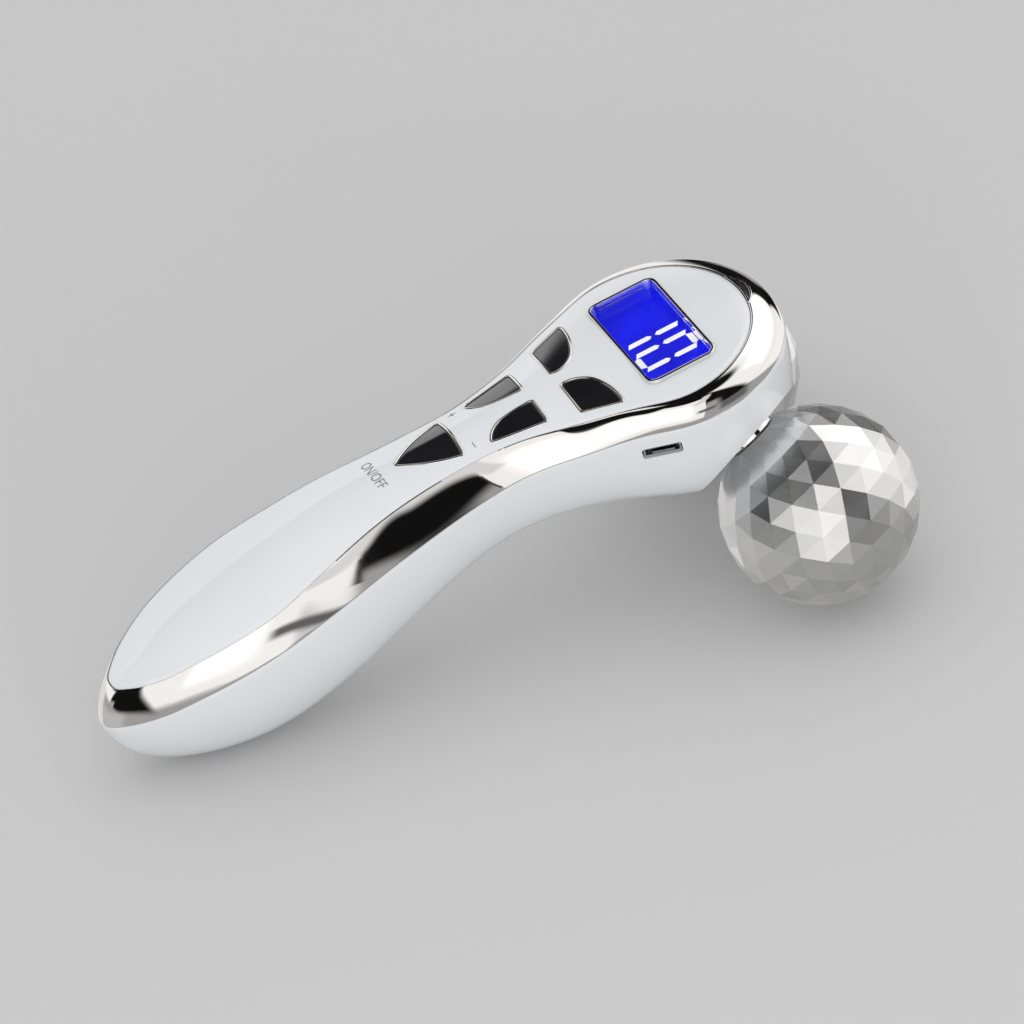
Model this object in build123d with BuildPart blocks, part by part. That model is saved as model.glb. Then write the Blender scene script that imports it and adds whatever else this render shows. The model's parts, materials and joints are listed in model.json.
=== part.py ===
"""Hand-held facial toning device: a long curved handle, a round head and two faceted rollers set in a V.

Frame: the device lies on its two rollers and on the belly of its handle. +X runs from the tail of the
handle to the head, +Y to the left, +Z up, and the origin is on the floor under the middle of the device.
Sizes are in millimetres. Most pieces are laid out on the deck, the plane through the display that the resting
device tilts up towards the head. Deck coordinates are (x towards the head, y to the left, z out of the
display).
"""

import os
from math import cos, pi, radians, sin

import numpy as np
from build123d import *
from scipy.interpolate import CubicSpline, PchipInterpolator
from scipy.optimize import brentq
from scipy.spatial import ConvexHull

os.makedirs("parts", exist_ok=True)

# ---------------------------------------------------------------- driving dimensions
# Outline of the case, where the chrome band meets the lower shell
tail_x = -129.9                 # tip of the tail, from the middle of the display
grip_x = -88.0                  # widest place of the grip
grip_half_width = 16.6
waist_x = -40.3                 # narrowest place, under the buttons
waist_half_width = 12.9
head_x = 1.3                    # middle of the round head
head_radius = 24.3
tail_rise = 23.9                # the belly starts to rise to the tail this far from its tip

# Fits
press_fit = 0.01                # radial, between pieces that are pressed or screwed together
slip_fit = 0.03                 # between a piece and the opening that it drops into
seat_gap = 0.05                 # between faces that rest on each other

# Cover
cover_wall = 1.8
cover_side_wall = 1.2
cover_skirt = 3.0               # depth of the cover's rim below its skin
skirt_room = 0.3                # under the skirt, in the band
seam_gap = 0.12                 # between the cover and the chrome band
crown_margin = 4.0              # the skin surface runs this far past both tips

# Band and lower shell
band_wall = 2.4
shell_wall = 1.8
rim_gap = 0.1                   # shadow line between the band and the lower shell

# Display
display_length = 15.3           # along the handle
display_width = 28.8            # across the handle
display_corner = 2.0
bezel_rim = 0.5
bezel_slope = 0.9               # the inner wall leans in by this much
bezel_proud = 0.15
bezel_wall = 0.3                # below the window's ledge
bezel_bottom = -2.4
window_top = -1.3
window_thickness = 1.0
panel_thickness = 2.4
panel_margin = 0.05             # the panel ends this far inside the bezel's outline

# Keys
trim_width = 0.5
trim_proud = 0.12
trim_depth = 1.6
key_gap = 0.12                  # between a key and its trim
key_recess = 0.1                # a key's face below the skin of the cover
key_flange = 0.5
flange_gap = 0.1                # under the cover, when the key is up
flange_thickness = 0.6
flange_side_gap = 0.15          # between a flange and the cover's rim
key_travel = 0.4
stem_radius = 1.3
stem_gap = key_travel + 0.05    # over the switch, when the key is up
stem_root = 0.4                 # the stem starts this far up in the flange
switch_size = 4.4
switch_height = 1.8
actuator_radius = 1.1
actuator_height = 0.7

# Board
board_top = -7.0                # below the deck
board_thickness = 1.6
board_inset = 1.3               # in from the cover's outline
board_tail_x = -66.0
board_head_x = -9.5
post_radius = 2.2
pilot_radius = 0.65
board_screw_radius = 0.65
board_screw_head_radius = 1.6
board_screw_head_height = 1.0
board_screw_length = 5.0
board_screw_slot = (1.8, 0.45, 0.5)  # length, width, depth
board_post_spots = [(-57.5, 5.2), (-57.5, -5.2), (-12.6, 9.2), (-12.6, -9.2)]
chip_x = -40.0
chip_size = 6.0
chip_height = 1.1
buzzer_x = -24.6
buzzer_radius = 3.4
buzzer_height = 1.9
buzzer_hole_radius = 0.8
buzzer_hole_depth = 0.8

# Rollers
roller_radius = 20.0
roller_gap = 11.0               # between the two rollers
roller_x = 15.5
roller_drop = 38.65             # of the roller's middle below the deck
axle_lean = (-0.320, 0.582, 0.748)
facets_round = 20
facet_rings = 5                 # rings of corners on each side of the roller's girth
axle_radius = 2.0
bush_radius = 4.0
bush_depth = 6.0                # the bush reaches this far past the roller's middle
bush_recess = 0.4               # its top below the flat at the roller's neck
running_gap = 0.04              # bush on axle
axle_end = 3.0                  # the axle's end past the bush
axle_chamfer = 0.3
chamber_radius = 5.0            # room for the clip at the blind end of the bore
chamber_depth = 4.5
clip_radius = 3.4
clip_thickness = 0.8
clip_mouth = 1.6
clip_gap = 0.2                  # between the clip and the bush
groove_depth = 0.4
groove_room = 0.04              # the groove is this much wider than the clip
scoop_gap = 4.0                 # between a roller and the scoop in the shell round it
scoop_wall = 2.0
collar_radius = 5.4
spigot_radius = 3.2
boss_radius = 6.0
boss_height = 4.0               # of the boss inside the shell, from the scoop
roller_side_gap = 0.3           # between the collar and its roller

# Bracket
bracket_top = -12.5
bracket_thickness = 3.5
bracket_length = 22.0
bracket_width = 19.0
bracket_x = 1.5
bracket_corner = 2.5
bracket_gap = 0.15              # between the bracket and the shell's scoops and bosses
sleeve_radius = 4.6
sleeve_gap = 0.3                # between a boss and the bracket's sleeve
sleeve_length = 9.1
bracket_post_radius = 2.8
bracket_screw_radius = 1.2
bracket_screw_head_radius = 2.3
bracket_screw_head_height = 1.5
bracket_screw_length = 9.0
bracket_screw_slot = (2.8, 0.6, 0.8)
bracket_screw_spots = [(-7.2, 6.4), (-7.2, -6.4), (10.3, 0.0)]

# Charging port
port_x = -11.0
port_z = -10.9
port_width = 7.5
port_height = 2.2
port_corner = 0.5
port_depth = 5.6
port_wall = 0.35
port_back = 0.8                 # wall at the blind end of the port
port_recess = 0.5
tongue_width = 4.5
tongue_thickness = 0.6
slot_margin = 0.25
slot_corner = 0.6
charging_board_width = 9.0
charging_board_depth = 5.0
charging_board_thickness = 1.0
charging_shelf_width = 5.0
charging_shelf_thickness = 1.2

# Cell
cell_radius = 7.0
cell_length = 48.0
cell_x = -85.0
cell_z = -23.5
cell_tilt = 9.0                 # degrees, tail down
cell_clearance = 0.15
cell_room = 0.5                 # at each end of the cell
terminal_radius = 2.6
terminal_height = 1.2
cradle_thickness = 2.4

# Tip lamp
lamp_half_length = 5.15
lamp_reach = 2.0                # past the cover's outline
lamp_rim_width = 0.45
lamp_depth = 1.6
lamp_top = -0.95
lamp_recess = 0.35              # the lens below its rim

# Sizes that follow from these
head_tip = head_x + head_radius
belly_x = tail_x + tail_rise
roller_spacing = 2 * roller_radius + roller_gap
scoop_radius = roller_radius + scoop_gap
spigot_to = scoop_radius + boss_height
sleeve_from = spigot_to + sleeve_gap
axle_to = sleeve_from + sleeve_length
ring_step = pi / (2 * facet_rings + 4)
neck_height = roller_radius * sin((facet_rings + 0.5) * ring_step)
bush_from = -bush_depth
bush_to = neck_height - bush_recess
axle_from = bush_from - axle_end
chamber_from = bush_from - chamber_depth


# ---------------------------------------------------------------- curves that shape the case
def smooth(*knots):
    """A smooth function of x through the knots, each (x, value)."""
    return CubicSpline([x for x, _ in knots], [value for _, value in knots], bc_type="natural")


def gentle(*knots):
    """A function of x through the knots that never overshoots them."""
    return PchipInterpolator([x for x, _ in knots], [value for _, value in knots])


crown = smooth(
    (tail_x - crown_margin, -20.3), (tail_x + 4, -17.6), (tail_x + 11, -13.9), (tail_x + 20, -10.4),
    (-99, -7.4), (grip_x, -4.9), (-79, -3.1), (-70, -1.6), (-60, -0.9), (waist_x, -0.4), (-20, -0.15), (0, 0),
    (head_x + 9, -0.25), (head_tip - 5.7, -1.2), (head_tip + crown_margin, -2.9),
)
crown_radius = gentle(
    (tail_x - crown_margin, 13), (tail_x + 12, 19), (tail_x + 20, 27), (-95, 32), (-79, 28), (-60, 20.5),
    (-45, 19.2), (-27, 44), (-9, 150), (head_tip + crown_margin, 172),
)
seam_inset = gentle(
    (tail_x, 4.4), (tail_x + 8, 2.7), (tail_x + 20, 2.3), (-95, 2.4), (-80, 4.4), (-62, 5.8), (-45, 4.7),
    (-30, 3.6), (-17, 3.0), (-5, 3.3), (2, 4.0), (15, 5.2), (head_tip, 5.8),
)
band_drop = gentle(
    (tail_x, 7.6), (tail_x + 20, 7.2), (-75, 7.0), (-50, 6.4), (-30, 5.6), (-5, 5.0), (head_tip, 5.4),
)
band_bulge_out = gentle((tail_x, 0.65), (grip_x, 0.6), (-50, 0.55), (-25, 0.7), (0, 0.9), (head_tip, 0.9))
band_bulge_down = gentle((tail_x, 0.3), (grip_x, 0.35), (-50, 0.42), (-25, 0.3), (0, 0.12), (head_tip, 0.12))
keel = smooth(
    (belly_x, -43.9), (-98, -44.4), (-86, -42.2), (-72, -37.4), (-58, -32.0), (-44, -28.4),
    (-30, -28.2), (-16, -30.2), (-4, -33.4), (head_x + 1.9, -34.5),
)
fullness = gentle(
    (belly_x, 0.52), (-98, 0.56), (-72, 0.57), (-44, 0.58), (-25, 0.62), (-10, 0.70), (head_x + 1.9, 0.77),
)
foot = gentle(
    (tail_x, belly_x), (tail_x + 3, belly_x + 0.5), (tail_x + 10, belly_x + 2), (tail_x + 22, belly_x + 7.1),
    (-95, -92), (-80, -80), (-60, -60), (-40, -40), (-20, -17), (-12, -9), (0, head_x - 2.3),
    (12, head_x + 0.2), (22, head_x + 1.5), (head_tip + 0.2, head_x + 1.9),
)


def roof_height(x, y):
    """Height of the cover's skin above the deck."""
    return float(crown(x) - y * y / (2 * crown_radius(x)))


outline_points = [
    (tail_x, 0),
    (tail_x + 0.4, 0.132 * grip_half_width),
    (tail_x + 2.3, 0.277 * grip_half_width),
    (tail_x + 6.7, 0.482 * grip_half_width),
    (tail_x + 12.1, 0.663 * grip_half_width),
    (tail_x + 17.9, 0.795 * grip_half_width),
    (tail_x + 24.9, 0.904 * grip_half_width),
    (grip_x - 9.0, 0.976 * grip_half_width),
    (grip_x, grip_half_width),
    (grip_x + 10.7, 0.988 * grip_half_width),
    (grip_x + 21.5, 0.934 * grip_half_width),
    (grip_x + 33, 0.32 * grip_half_width + 0.68 * waist_half_width),
    (waist_x - 5.7, 1.015 * waist_half_width),
    (waist_x, waist_half_width),
    (waist_x + 6.3, 1.054 * waist_half_width),
    (waist_x + 12.3, 1.171 * waist_half_width),
    (head_x - 0.877 * head_radius, 0.733 * head_radius),
    (head_x - 0.580 * head_radius, 0.840 * head_radius),
]
for angle in (105, 90, 68, 45, 22.5, 0):
    outline_points.append((head_x + head_radius * cos(radians(angle)), head_radius * sin(radians(angle))))


def curve_through(points):
    """A smooth half outline by its share of length, square to the centre line at both tips."""
    xy = np.array(points, dtype=float)
    steps = np.hypot(*np.diff(xy, axis=0).T)
    share = np.concatenate(([0], np.cumsum(steps))) / steps.sum()
    length = steps.sum()
    return CubicSpline(share, xy, bc_type=((1, (0, length)), (1, (0, -length))))


outline = curve_through(outline_points)


# ---------------------------------------------------------------- how the device lies on the floor
def roller_corners():
    """Rings of corners on the roller's sphere, z up the axle, from its outer pole to the flat at its neck."""
    heights = [-(facet_rings + 0.5) * ring_step]
    heights += [(i - facet_rings + 0.5) * ring_step for i in range(2 * facet_rings)]
    heights += [(facet_rings + 0.5) * ring_step]
    rings = [[(0.0, 0.0, -roller_radius)]]
    for ring, height in enumerate(heights):
        sparse = ring in (0, len(heights) - 1)
        count = facets_round // 2 if sparse else facets_round
        turn = 0.0 if ring % 2 == 0 else 0.5
        around = [2 * pi * (i + turn) / count for i in range(count)]
        r, z = roller_radius * cos(height), roller_radius * sin(height)
        rings.append([(r * cos(a), r * sin(a), z) for a in around])
    return rings


def roller_profile():
    """Deck (x, z) of the left roller's corners."""
    lean = np.array((axle_lean[0], -axle_lean[1], axle_lean[2])) / np.linalg.norm(axle_lean)
    across = np.cross((0, 1, 0), lean)
    across /= np.linalg.norm(across)
    corners = np.array([corner for ring in roller_corners() for corner in ring])
    turned = corners @ np.array((across, np.cross(lean, across), lean))
    return turned[:, [0, 2]] + (roller_x, -roller_drop)


def belly_profile():
    """Deck (x, z) of the shell's profile on the centre line: the belly, and up to the rim at the tail."""
    stations = np.linspace(belly_x, waist_x, 300)
    t = np.linspace(0, 1, 200)
    rim = roof_height(tail_x + float(seam_inset(tail_x)), 0) - float(band_drop(tail_x)) - rim_gap
    low, full = float(keel(belly_x)), float(fullness(belly_x))
    out = (1 - t) ** 2 * (1 + 2 * t) + 3 * t ** 2 * (1 - t) * full
    down = 3 * t * (1 - t) ** 2 * full + t ** 2 * (3 - 2 * t)
    tail = np.stack((belly_x - tail_rise * out, rim + (low - rim) * down), axis=1)
    return np.concatenate((np.stack((stations, keel(stations)), axis=1), tail))


def lowest(profile, tilt):
    """Height of a profile's lowest point when the deck is tilted up by this angle."""
    return float(np.min(profile @ (sin(tilt), cos(tilt))))


belly, roller_edge = belly_profile(), roller_profile()
rest_tilt = brentq(lambda tilt: lowest(belly, tilt) - lowest(roller_edge, tilt), -0.5, 0.5)
deck_height = -lowest(belly, rest_tilt)
along_floor = (cos(rest_tilt), -sin(rest_tilt))
deck_x = -(np.max(roller_edge @ along_floor) + np.min(belly @ along_floor)) / 2
deck = Plane(
    origin=(float(deck_x), 0, deck_height),
    x_dir=(cos(rest_tilt), 0, sin(rest_tilt)),
    z_dir=(-sin(rest_tilt), 0, cos(rest_tilt)),
)


def place(x, y=0.0, z=0.0):
    """The point with these deck coordinates."""
    return deck.from_local_coords(Vector(x, y, z))


def level(z):
    """The plane parallel to the deck at this height."""
    return deck.offset(z)


# ---------------------------------------------------------------- sections that fan round the case
class Page:
    """A plane that stands on the deck and runs from the centre line out to the case's outline."""

    def __init__(self, share):
        edge_x, edge_y = (float(v) for v in outline(share))
        self.foot = float(foot(edge_x))
        start, end = place(self.foot), place(edge_x, edge_y)
        self.reach = (end - start).length
        across = (end - start).normalized()
        self.plane = Plane(origin=start, x_dir=across, z_dir=across.cross(deck.z_dir))
        self.inset = float(seam_inset(edge_x))
        self.seam = self.reach - self.inset
        self.seam_x = self.foot + (edge_x - self.foot) * self.seam / self.reach
        self.seam_y = edge_y * self.seam / self.reach
        self.seam_z = roof_height(self.seam_x, self.seam_y)
        self.drop = float(band_drop(edge_x))
        self.rim_z = self.seam_z - self.drop
        self.keel_z = float(keel(self.foot))
        self.full = float(fullness(self.foot))
        self.out = float(band_bulge_out(edge_x))
        self.down = float(band_bulge_down(edge_x))


def shares_along(count):
    """Shares of the outline's length, closer together at both tips."""
    even = np.linspace(0, 1, count)
    return [float(v) for v in 0.75 * even + 0.25 * (0.5 - 0.5 * np.cos(pi * even))]


pages = [Page(share) for share in shares_along(33)]
seam = curve_through([(page.seam_x, page.seam_y) for page in pages])


def body_section(page, inset, lift):
    """Half a section of the lower body: down from the rim, round to the keel and up the centre line."""
    reach = page.reach - inset
    low = page.keel_z + inset
    rim = page.rim_z - rim_gap
    with BuildLine() as section:
        Bezier((reach, rim), (reach, rim + page.full * (low - rim)), (page.full * reach, low), (0, low))
        Polyline((0, low), (0, rim + lift), (reach, rim + lift))
        if lift:
            Line((reach, rim + lift), (reach, rim))
    return section.line


def seam_outline(inset):
    """The cover's outline, pulled in by this much."""
    shares = np.array(shares_along(45))
    inward = seam(shares, 1)[:, ::-1] * (1, -1)
    inward /= np.linalg.norm(inward, axis=1)[:, None]
    half = (seam(shares) + inset * inward).tolist()
    loop = half[:-1] + [(x, -y) for x, y in half[:0:-1]]
    with BuildSketch() as face:
        with BuildLine():
            Spline(*map(tuple, loop), periodic=True)
        make_face()
    return face.sketch


# ---------------------------------------------------------------- shared solids
above_all = 4.0                 # a level clear of the case, where cuts from above start
below_all = 90.0                # deeper than the case from any level
half_roof = head_radius + 8
with BuildPart() as roof:
    # everything under the cover's skin, for trimming pieces to it
    for x in np.linspace(tail_x - crown_margin, head_tip + crown_margin, 24):
        sag = half_roof ** 2 / (2 * float(crown_radius(x)))
        top = float(crown(x))
        side = top - sag
        with BuildSketch(Plane(origin=place(float(x)), x_dir=(0, 1, 0), z_dir=deck.x_dir)):
            with BuildLine():
                Bezier((-half_roof, side), (0, top + sag), (half_roof, side))
                Polyline(
                    (half_roof, side), (half_roof, -below_all), (-half_roof, -below_all), (-half_roof, side),
                )
            make_face()
    loft()


def under_skin(depth):
    """The solid below the cover's skin, lowered by this depth."""
    return roof.part.moved(Location(deck.z_dir * -depth))


def largest(piece):
    """The piece without the slivers that two mirrored halves leave along their joint."""
    return piece.part.solids().sort_by(SortBy.VOLUME)[-1]


def finish(piece, label):
    """Labels a finished piece and writes its file."""
    piece.part.label = label
    export_step(piece.part, f"parts/{label}.step")


sides = {"left": 1, "right": -1}


def roller_centre(side):
    """Middle of the roller on this side."""
    return place(roller_x, side * roller_spacing / 2, -roller_drop)


def axle_plane(side, along):
    """The plane square to this side's axle, this far up it from the roller's middle."""
    lean = deck.x_dir * axle_lean[0] - deck.y_dir * axle_lean[1] * side + deck.z_dir * axle_lean[2]
    lean = lean.normalized()
    return Plane(origin=roller_centre(side) + lean * along, x_dir=deck.y_dir.cross(lean), z_dir=lean)


# ---------------------------------------------------------------- keys
def fin_face():
    """The power key: a fin that points to the tail."""
    with BuildSketch() as face:
        with BuildLine():
            ThreePointArc((-58.4, 0), (-52.2, 4.1), (-45.1, 6.3))
            ThreePointArc((-45.1, 6.3), (-44.7, 0), (-45.1, -6.3))
            ThreePointArc((-45.1, -6.3), (-52.2, -4.1), (-58.4, 0))
        make_face()
        fillet(face.vertices(), radius=0.8)
    return face.sketch


def corners_away_from(face, joint):
    """The corners of a face, without the smooth joint between its two arcs."""
    return [corner for corner in face.vertices() if (Vector(corner) - joint).length > 0.1]


def wedge_face(side):
    """A level key: long outer edge, curved inner edge, pointed to the tail."""
    with BuildSketch() as face:
        with BuildLine():
            inner = ThreePointArc((-27.6, side * 1.75), (-31.4, side * 1.9), (-35.0, side * 2.4))
            TangentArc(inner @ 1, (-40.0, side * 6.8), tangent=inner % 1)
            Polyline((-40.0, side * 6.8), (-27.6, side * 9.1), (-27.6, side * 1.75))
        make_face()
        fillet(corners_away_from(face, inner @ 1), radius=0.75)
    return face.sketch


def shield_face(side):
    """A D key: straight tail and outer edges, a rounded edge towards the display."""
    with BuildSketch() as face:
        with BuildLine():
            front = ThreePointArc((-13.3, side * 14.8), (-13.5, side * 9.8), (-15.0, side * 5.2))
            TangentArc(front @ 1, (-21.9, side * 1.7), tangent=front % 1)
            Polyline((-21.9, side * 1.7), (-21.9, side * 11.4), (-13.3, side * 14.8))
        make_face()
        fillet(corners_away_from(face, front @ 1), radius=0.8)
    return face.sketch


keys = {
    "power": (fin_face, (), (-49.4, 0.0)),
    "minus": (wedge_face, (-1,), (-32.0, -5.6)),
    "plus": (wedge_face, (1,), (-32.0, 5.6)),
    "time": (shield_face, (-1,), (-17.9, -7.4)),
    "mode": (shield_face, (1,), (-17.9, 7.4)),
}


def key_prism(draw, given, grow):
    """A tall column with the key's outline, grown or shrunk."""
    with BuildPart() as column:
        with BuildSketch(level(above_all)):
            add(draw(*given))
            if grow:
                offset(amount=grow)
        extrude(amount=2 * board_top)
    return column.part


with BuildPart() as under_cover:
    # the room inside the cover's rim, for trimming the keys' flanges
    with BuildSketch(level(above_all)):
        add(seam_outline(seam_gap + cover_side_wall + flange_side_gap))
    extrude(amount=-below_all)

for name, (draw, given, spot) in keys.items():
    with BuildPart() as trim:
        add(key_prism(draw, given, 0))
        add(key_prism(draw, given, -trim_width), mode=Mode.SUBTRACT)
        add(under_skin(-trim_proud), mode=Mode.INTERSECT)
        add(under_skin(trim_depth), mode=Mode.SUBTRACT)
    finish(trim, f"{name}_trim")

    with BuildPart() as cap:
        add(key_prism(draw, given, -trim_width - key_gap))
        add(under_skin(key_recess), mode=Mode.INTERSECT)
        add(under_skin(cover_wall + flange_gap + flange_thickness), mode=Mode.SUBTRACT)

    with BuildPart() as key:
        add(key_prism(draw, given, key_flange))
        add(under_cover.part, mode=Mode.INTERSECT)
        add(under_skin(cover_wall + flange_gap), mode=Mode.INTERSECT)
        add(under_skin(cover_wall + flange_gap + flange_thickness), mode=Mode.SUBTRACT)
        add(cap.part)
        stem_low = board_top + switch_height + actuator_height + stem_gap
        stem_high = roof_height(*spot) - cover_wall - stem_root
        with BuildSketch(level(stem_low)):
            with Locations(spot):
                Circle(stem_radius)
        extrude(amount=stem_high - stem_low)
    finish(key, f"{name}_button")

    with BuildPart() as switch:
        with BuildSketch(level(board_top)):
            with Locations(spot):
                Rectangle(switch_size, switch_size)
        extrude(amount=switch_height)
        with BuildSketch(level(board_top + switch_height)):
            with Locations(spot):
                Circle(actuator_radius)
        extrude(amount=actuator_height)
    finish(switch, f"{name}_switch")


# ---------------------------------------------------------------- display
def display_face(grow):
    """Draws the display's rounded rectangle, grown or shrunk."""
    RectangleRounded(display_length + 2 * grow, display_width + 2 * grow, max(display_corner + grow, 0.5))


with BuildPart() as display_bezel:
    with BuildSketch(level(bezel_proud)):
        display_face(0)
    extrude(amount=bezel_bottom - bezel_proud)
    with BuildSketch(level(bezel_proud)):
        display_face(-bezel_rim)
    with BuildSketch(level(window_top)):
        display_face(-bezel_rim - bezel_slope)
    loft(mode=Mode.SUBTRACT)
    with BuildSketch(level(window_top)):
        display_face(-bezel_rim - bezel_wall)
    extrude(amount=bezel_bottom - window_top, mode=Mode.SUBTRACT)
finish(display_bezel, "display_bezel")

with BuildPart() as display_window:
    with BuildSketch(level(window_top)):
        display_face(-bezel_rim - bezel_wall - slip_fit)
    extrude(amount=-window_thickness)
finish(display_window, "display_window")

with BuildPart() as display_panel:
    with BuildSketch(level(bezel_bottom - seat_gap)):
        display_face(-panel_margin)
    extrude(amount=-panel_thickness)
finish(display_panel, "display_panel")


# ---------------------------------------------------------------- tip lamp
def lamp_face(shrink):
    """The crescent between the cover's tip and an arc in the chrome band."""
    tip = float(seam(1)[0])
    head_end = seam(np.linspace(1, 0.8, 100))
    root = float(np.interp(lamp_half_length, head_end[:, 1], head_end[:, 0]))
    with BuildSketch() as face:
        with BuildLine():
            ThreePointArc((root, -lamp_half_length), (tip + lamp_reach, 0), (root, lamp_half_length))
            ThreePointArc((root, lamp_half_length), (tip + slip_fit, 0), (root, -lamp_half_length))
        make_face()
        if shrink:
            offset(amount=-shrink)
    return face.sketch


with BuildPart() as lamp_rim:
    with BuildSketch(level(lamp_top)):
        add(lamp_face(0))
    extrude(amount=-lamp_depth)
    with BuildSketch(level(lamp_top)):
        add(lamp_face(lamp_rim_width))
    extrude(amount=-lamp_depth, mode=Mode.SUBTRACT)
finish(lamp_rim, "lamp_rim")

with BuildPart() as lamp_lens:
    with BuildSketch(level(lamp_top - lamp_recess)):
        add(lamp_face(lamp_rim_width + slip_fit))
    extrude(amount=lamp_recess - lamp_depth)
finish(lamp_lens, "lamp_lens")


# ---------------------------------------------------------------- top cover
with BuildPart() as cover_hollow:
    with BuildSketch(level(above_all)):
        add(seam_outline(seam_gap + cover_side_wall))
    extrude(amount=-below_all)
    add(under_skin(cover_wall), mode=Mode.INTERSECT)

with BuildPart() as top_cover:
    with BuildSketch(level(above_all)):
        add(seam_outline(seam_gap))
    extrude(amount=-below_all)
    add(roof.part, mode=Mode.INTERSECT)
    add(under_skin(cover_skirt), mode=Mode.SUBTRACT)
    add(cover_hollow.part, mode=Mode.SUBTRACT)
    for draw, given, _ in keys.values():
        add(key_prism(draw, given, slip_fit), mode=Mode.SUBTRACT)
    with BuildSketch(level(above_all)):
        display_face(slip_fit)
    extrude(amount=2 * board_top, mode=Mode.SUBTRACT)
finish(top_cover, "top_cover")


# ---------------------------------------------------------------- chrome band
with BuildPart() as chrome_band:
    for page in pages:
        with BuildSketch(page.plane):
            top, rim = page.seam_z, page.rim_z
            bulge = (page.seam + page.out * page.inset, top - page.down * page.drop)
            with BuildLine():
                Bezier((page.seam, top), bulge, (page.reach, rim))
                Polyline(
                    (page.reach, rim), (page.reach - band_wall, rim),
                    (page.seam, top - cover_skirt - skirt_room), (page.seam, top),
                )
            make_face()
    loft(clean=False)
    mirror(about=Plane.XZ)
    with BuildSketch(level(lamp_top)):
        add(lamp_face(-2 * slip_fit))
    extrude(amount=lamp_depth + seat_gap, dir=-deck.z_dir, mode=Mode.SUBTRACT)
finish(chrome_band, "chrome_band")


# ---------------------------------------------------------------- lower shell
def port_plane(height):
    """The plane along the wall at the charging port, its z axis out of the shell."""
    shares = np.linspace(0, 1, 2001)
    share = float(shares[np.argmin(np.abs(outline(shares)[:, 0] - port_x))])
    x, y = outline(share)
    run = outline(share, 1)
    outward = (deck.x_dir * -run[1] - deck.y_dir * run[0]).normalized()
    outward = outward if outward.Y < 0 else outward * -1
    return Plane(origin=place(float(x), -float(y), height), x_dir=deck.z_dir.cross(outward), z_dir=outward)


def cell_plane(along):
    """The plane square to the cell, this far from its middle towards the head."""
    run = deck.x_dir * cos(radians(cell_tilt)) + deck.z_dir * sin(radians(cell_tilt))
    return Plane(origin=place(cell_x, 0, cell_z) + run * along, x_dir=(0, 1, 0), z_dir=run)


board_bottom = board_top - board_thickness
bracket_bottom = bracket_top - bracket_thickness
shelf_z = port_z - port_height / 2 - press_fit - charging_board_thickness
charging_board_recess = shell_wall + 1.2

with BuildPart() as hollow:
    for page in pages:
        with BuildSketch(page.plane):
            add(body_section(page, shell_wall, 2))
            make_face()
    loft(clean=False)
    mirror(about=Plane.XZ)
    add(largest(hollow), mode=Mode.REPLACE)
    for side in sides.values():
        with Locations(roller_centre(side)):
            Sphere(scoop_radius + scoop_wall, mode=Mode.SUBTRACT)
        with BuildSketch(axle_plane(side, scoop_radius)):
            Circle(boss_radius)
        extrude(amount=spigot_to - scoop_radius, mode=Mode.SUBTRACT)
    with BuildSketch(level(board_bottom - seat_gap)):
        with Locations(*board_post_spots):
            Circle(post_radius)
    extrude(amount=-below_all, mode=Mode.SUBTRACT)
    with BuildSketch(level(bracket_bottom - seat_gap)):
        with Locations(*bracket_screw_spots):
            Circle(bracket_post_radius)
    extrude(amount=-below_all, mode=Mode.SUBTRACT)
    for along in (-0.3 * cell_length, 0.3 * cell_length):
        with BuildSketch(cell_plane(along - cradle_thickness / 2)):
            with Locations((0, -grip_half_width)):
                Rectangle(4 * grip_half_width, 2 * grip_half_width)
        extrude(amount=cradle_thickness, mode=Mode.SUBTRACT)
    with BuildSketch(cell_plane(-cell_length / 2 - cell_room)):
        Circle(cell_radius + cell_clearance)
    extrude(amount=cell_length + 2 * cell_room)
    with BuildSketch(port_plane(shelf_z - seat_gap - charging_shelf_thickness / 2)):
        Rectangle(charging_shelf_width, charging_shelf_thickness)
    extrude(amount=-shell_wall - charging_board_depth, mode=Mode.SUBTRACT)

with BuildPart() as lower_shell:
    for page in pages:
        with BuildSketch(page.plane):
            add(body_section(page, 0, 0))
            make_face()
    loft(clean=False)
    mirror(about=Plane.XZ)
    add(largest(lower_shell), mode=Mode.REPLACE)
    for side in sides.values():
        with Locations(roller_centre(side)):
            Sphere(scoop_radius, mode=Mode.SUBTRACT)
    add(hollow.part, mode=Mode.SUBTRACT)
    for side in sides.values():
        with BuildSketch(axle_plane(side, scoop_radius - scoop_gap / 2)):
            Circle(spigot_radius + press_fit)
        extrude(amount=2 * boss_height, mode=Mode.SUBTRACT)
    with BuildSketch(level(board_bottom)):
        with Locations(*board_post_spots):
            Circle(pilot_radius)
    extrude(amount=-board_screw_length, mode=Mode.SUBTRACT)
    with BuildSketch(level(bracket_bottom)):
        with Locations(*bracket_screw_spots):
            Circle(bracket_screw_radius)
    extrude(amount=-bracket_screw_length, mode=Mode.SUBTRACT)
    with BuildSketch(port_plane(port_z)):
        RectangleRounded(port_width + 2 * slot_margin, port_height + 2 * slot_margin, slot_corner)
    extrude(amount=port_depth, both=True, mode=Mode.SUBTRACT)
finish(lower_shell, "lower_shell")


# ---------------------------------------------------------------- charging port and its board
port_mouth = port_plane(port_z).offset(-port_recess)

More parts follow.
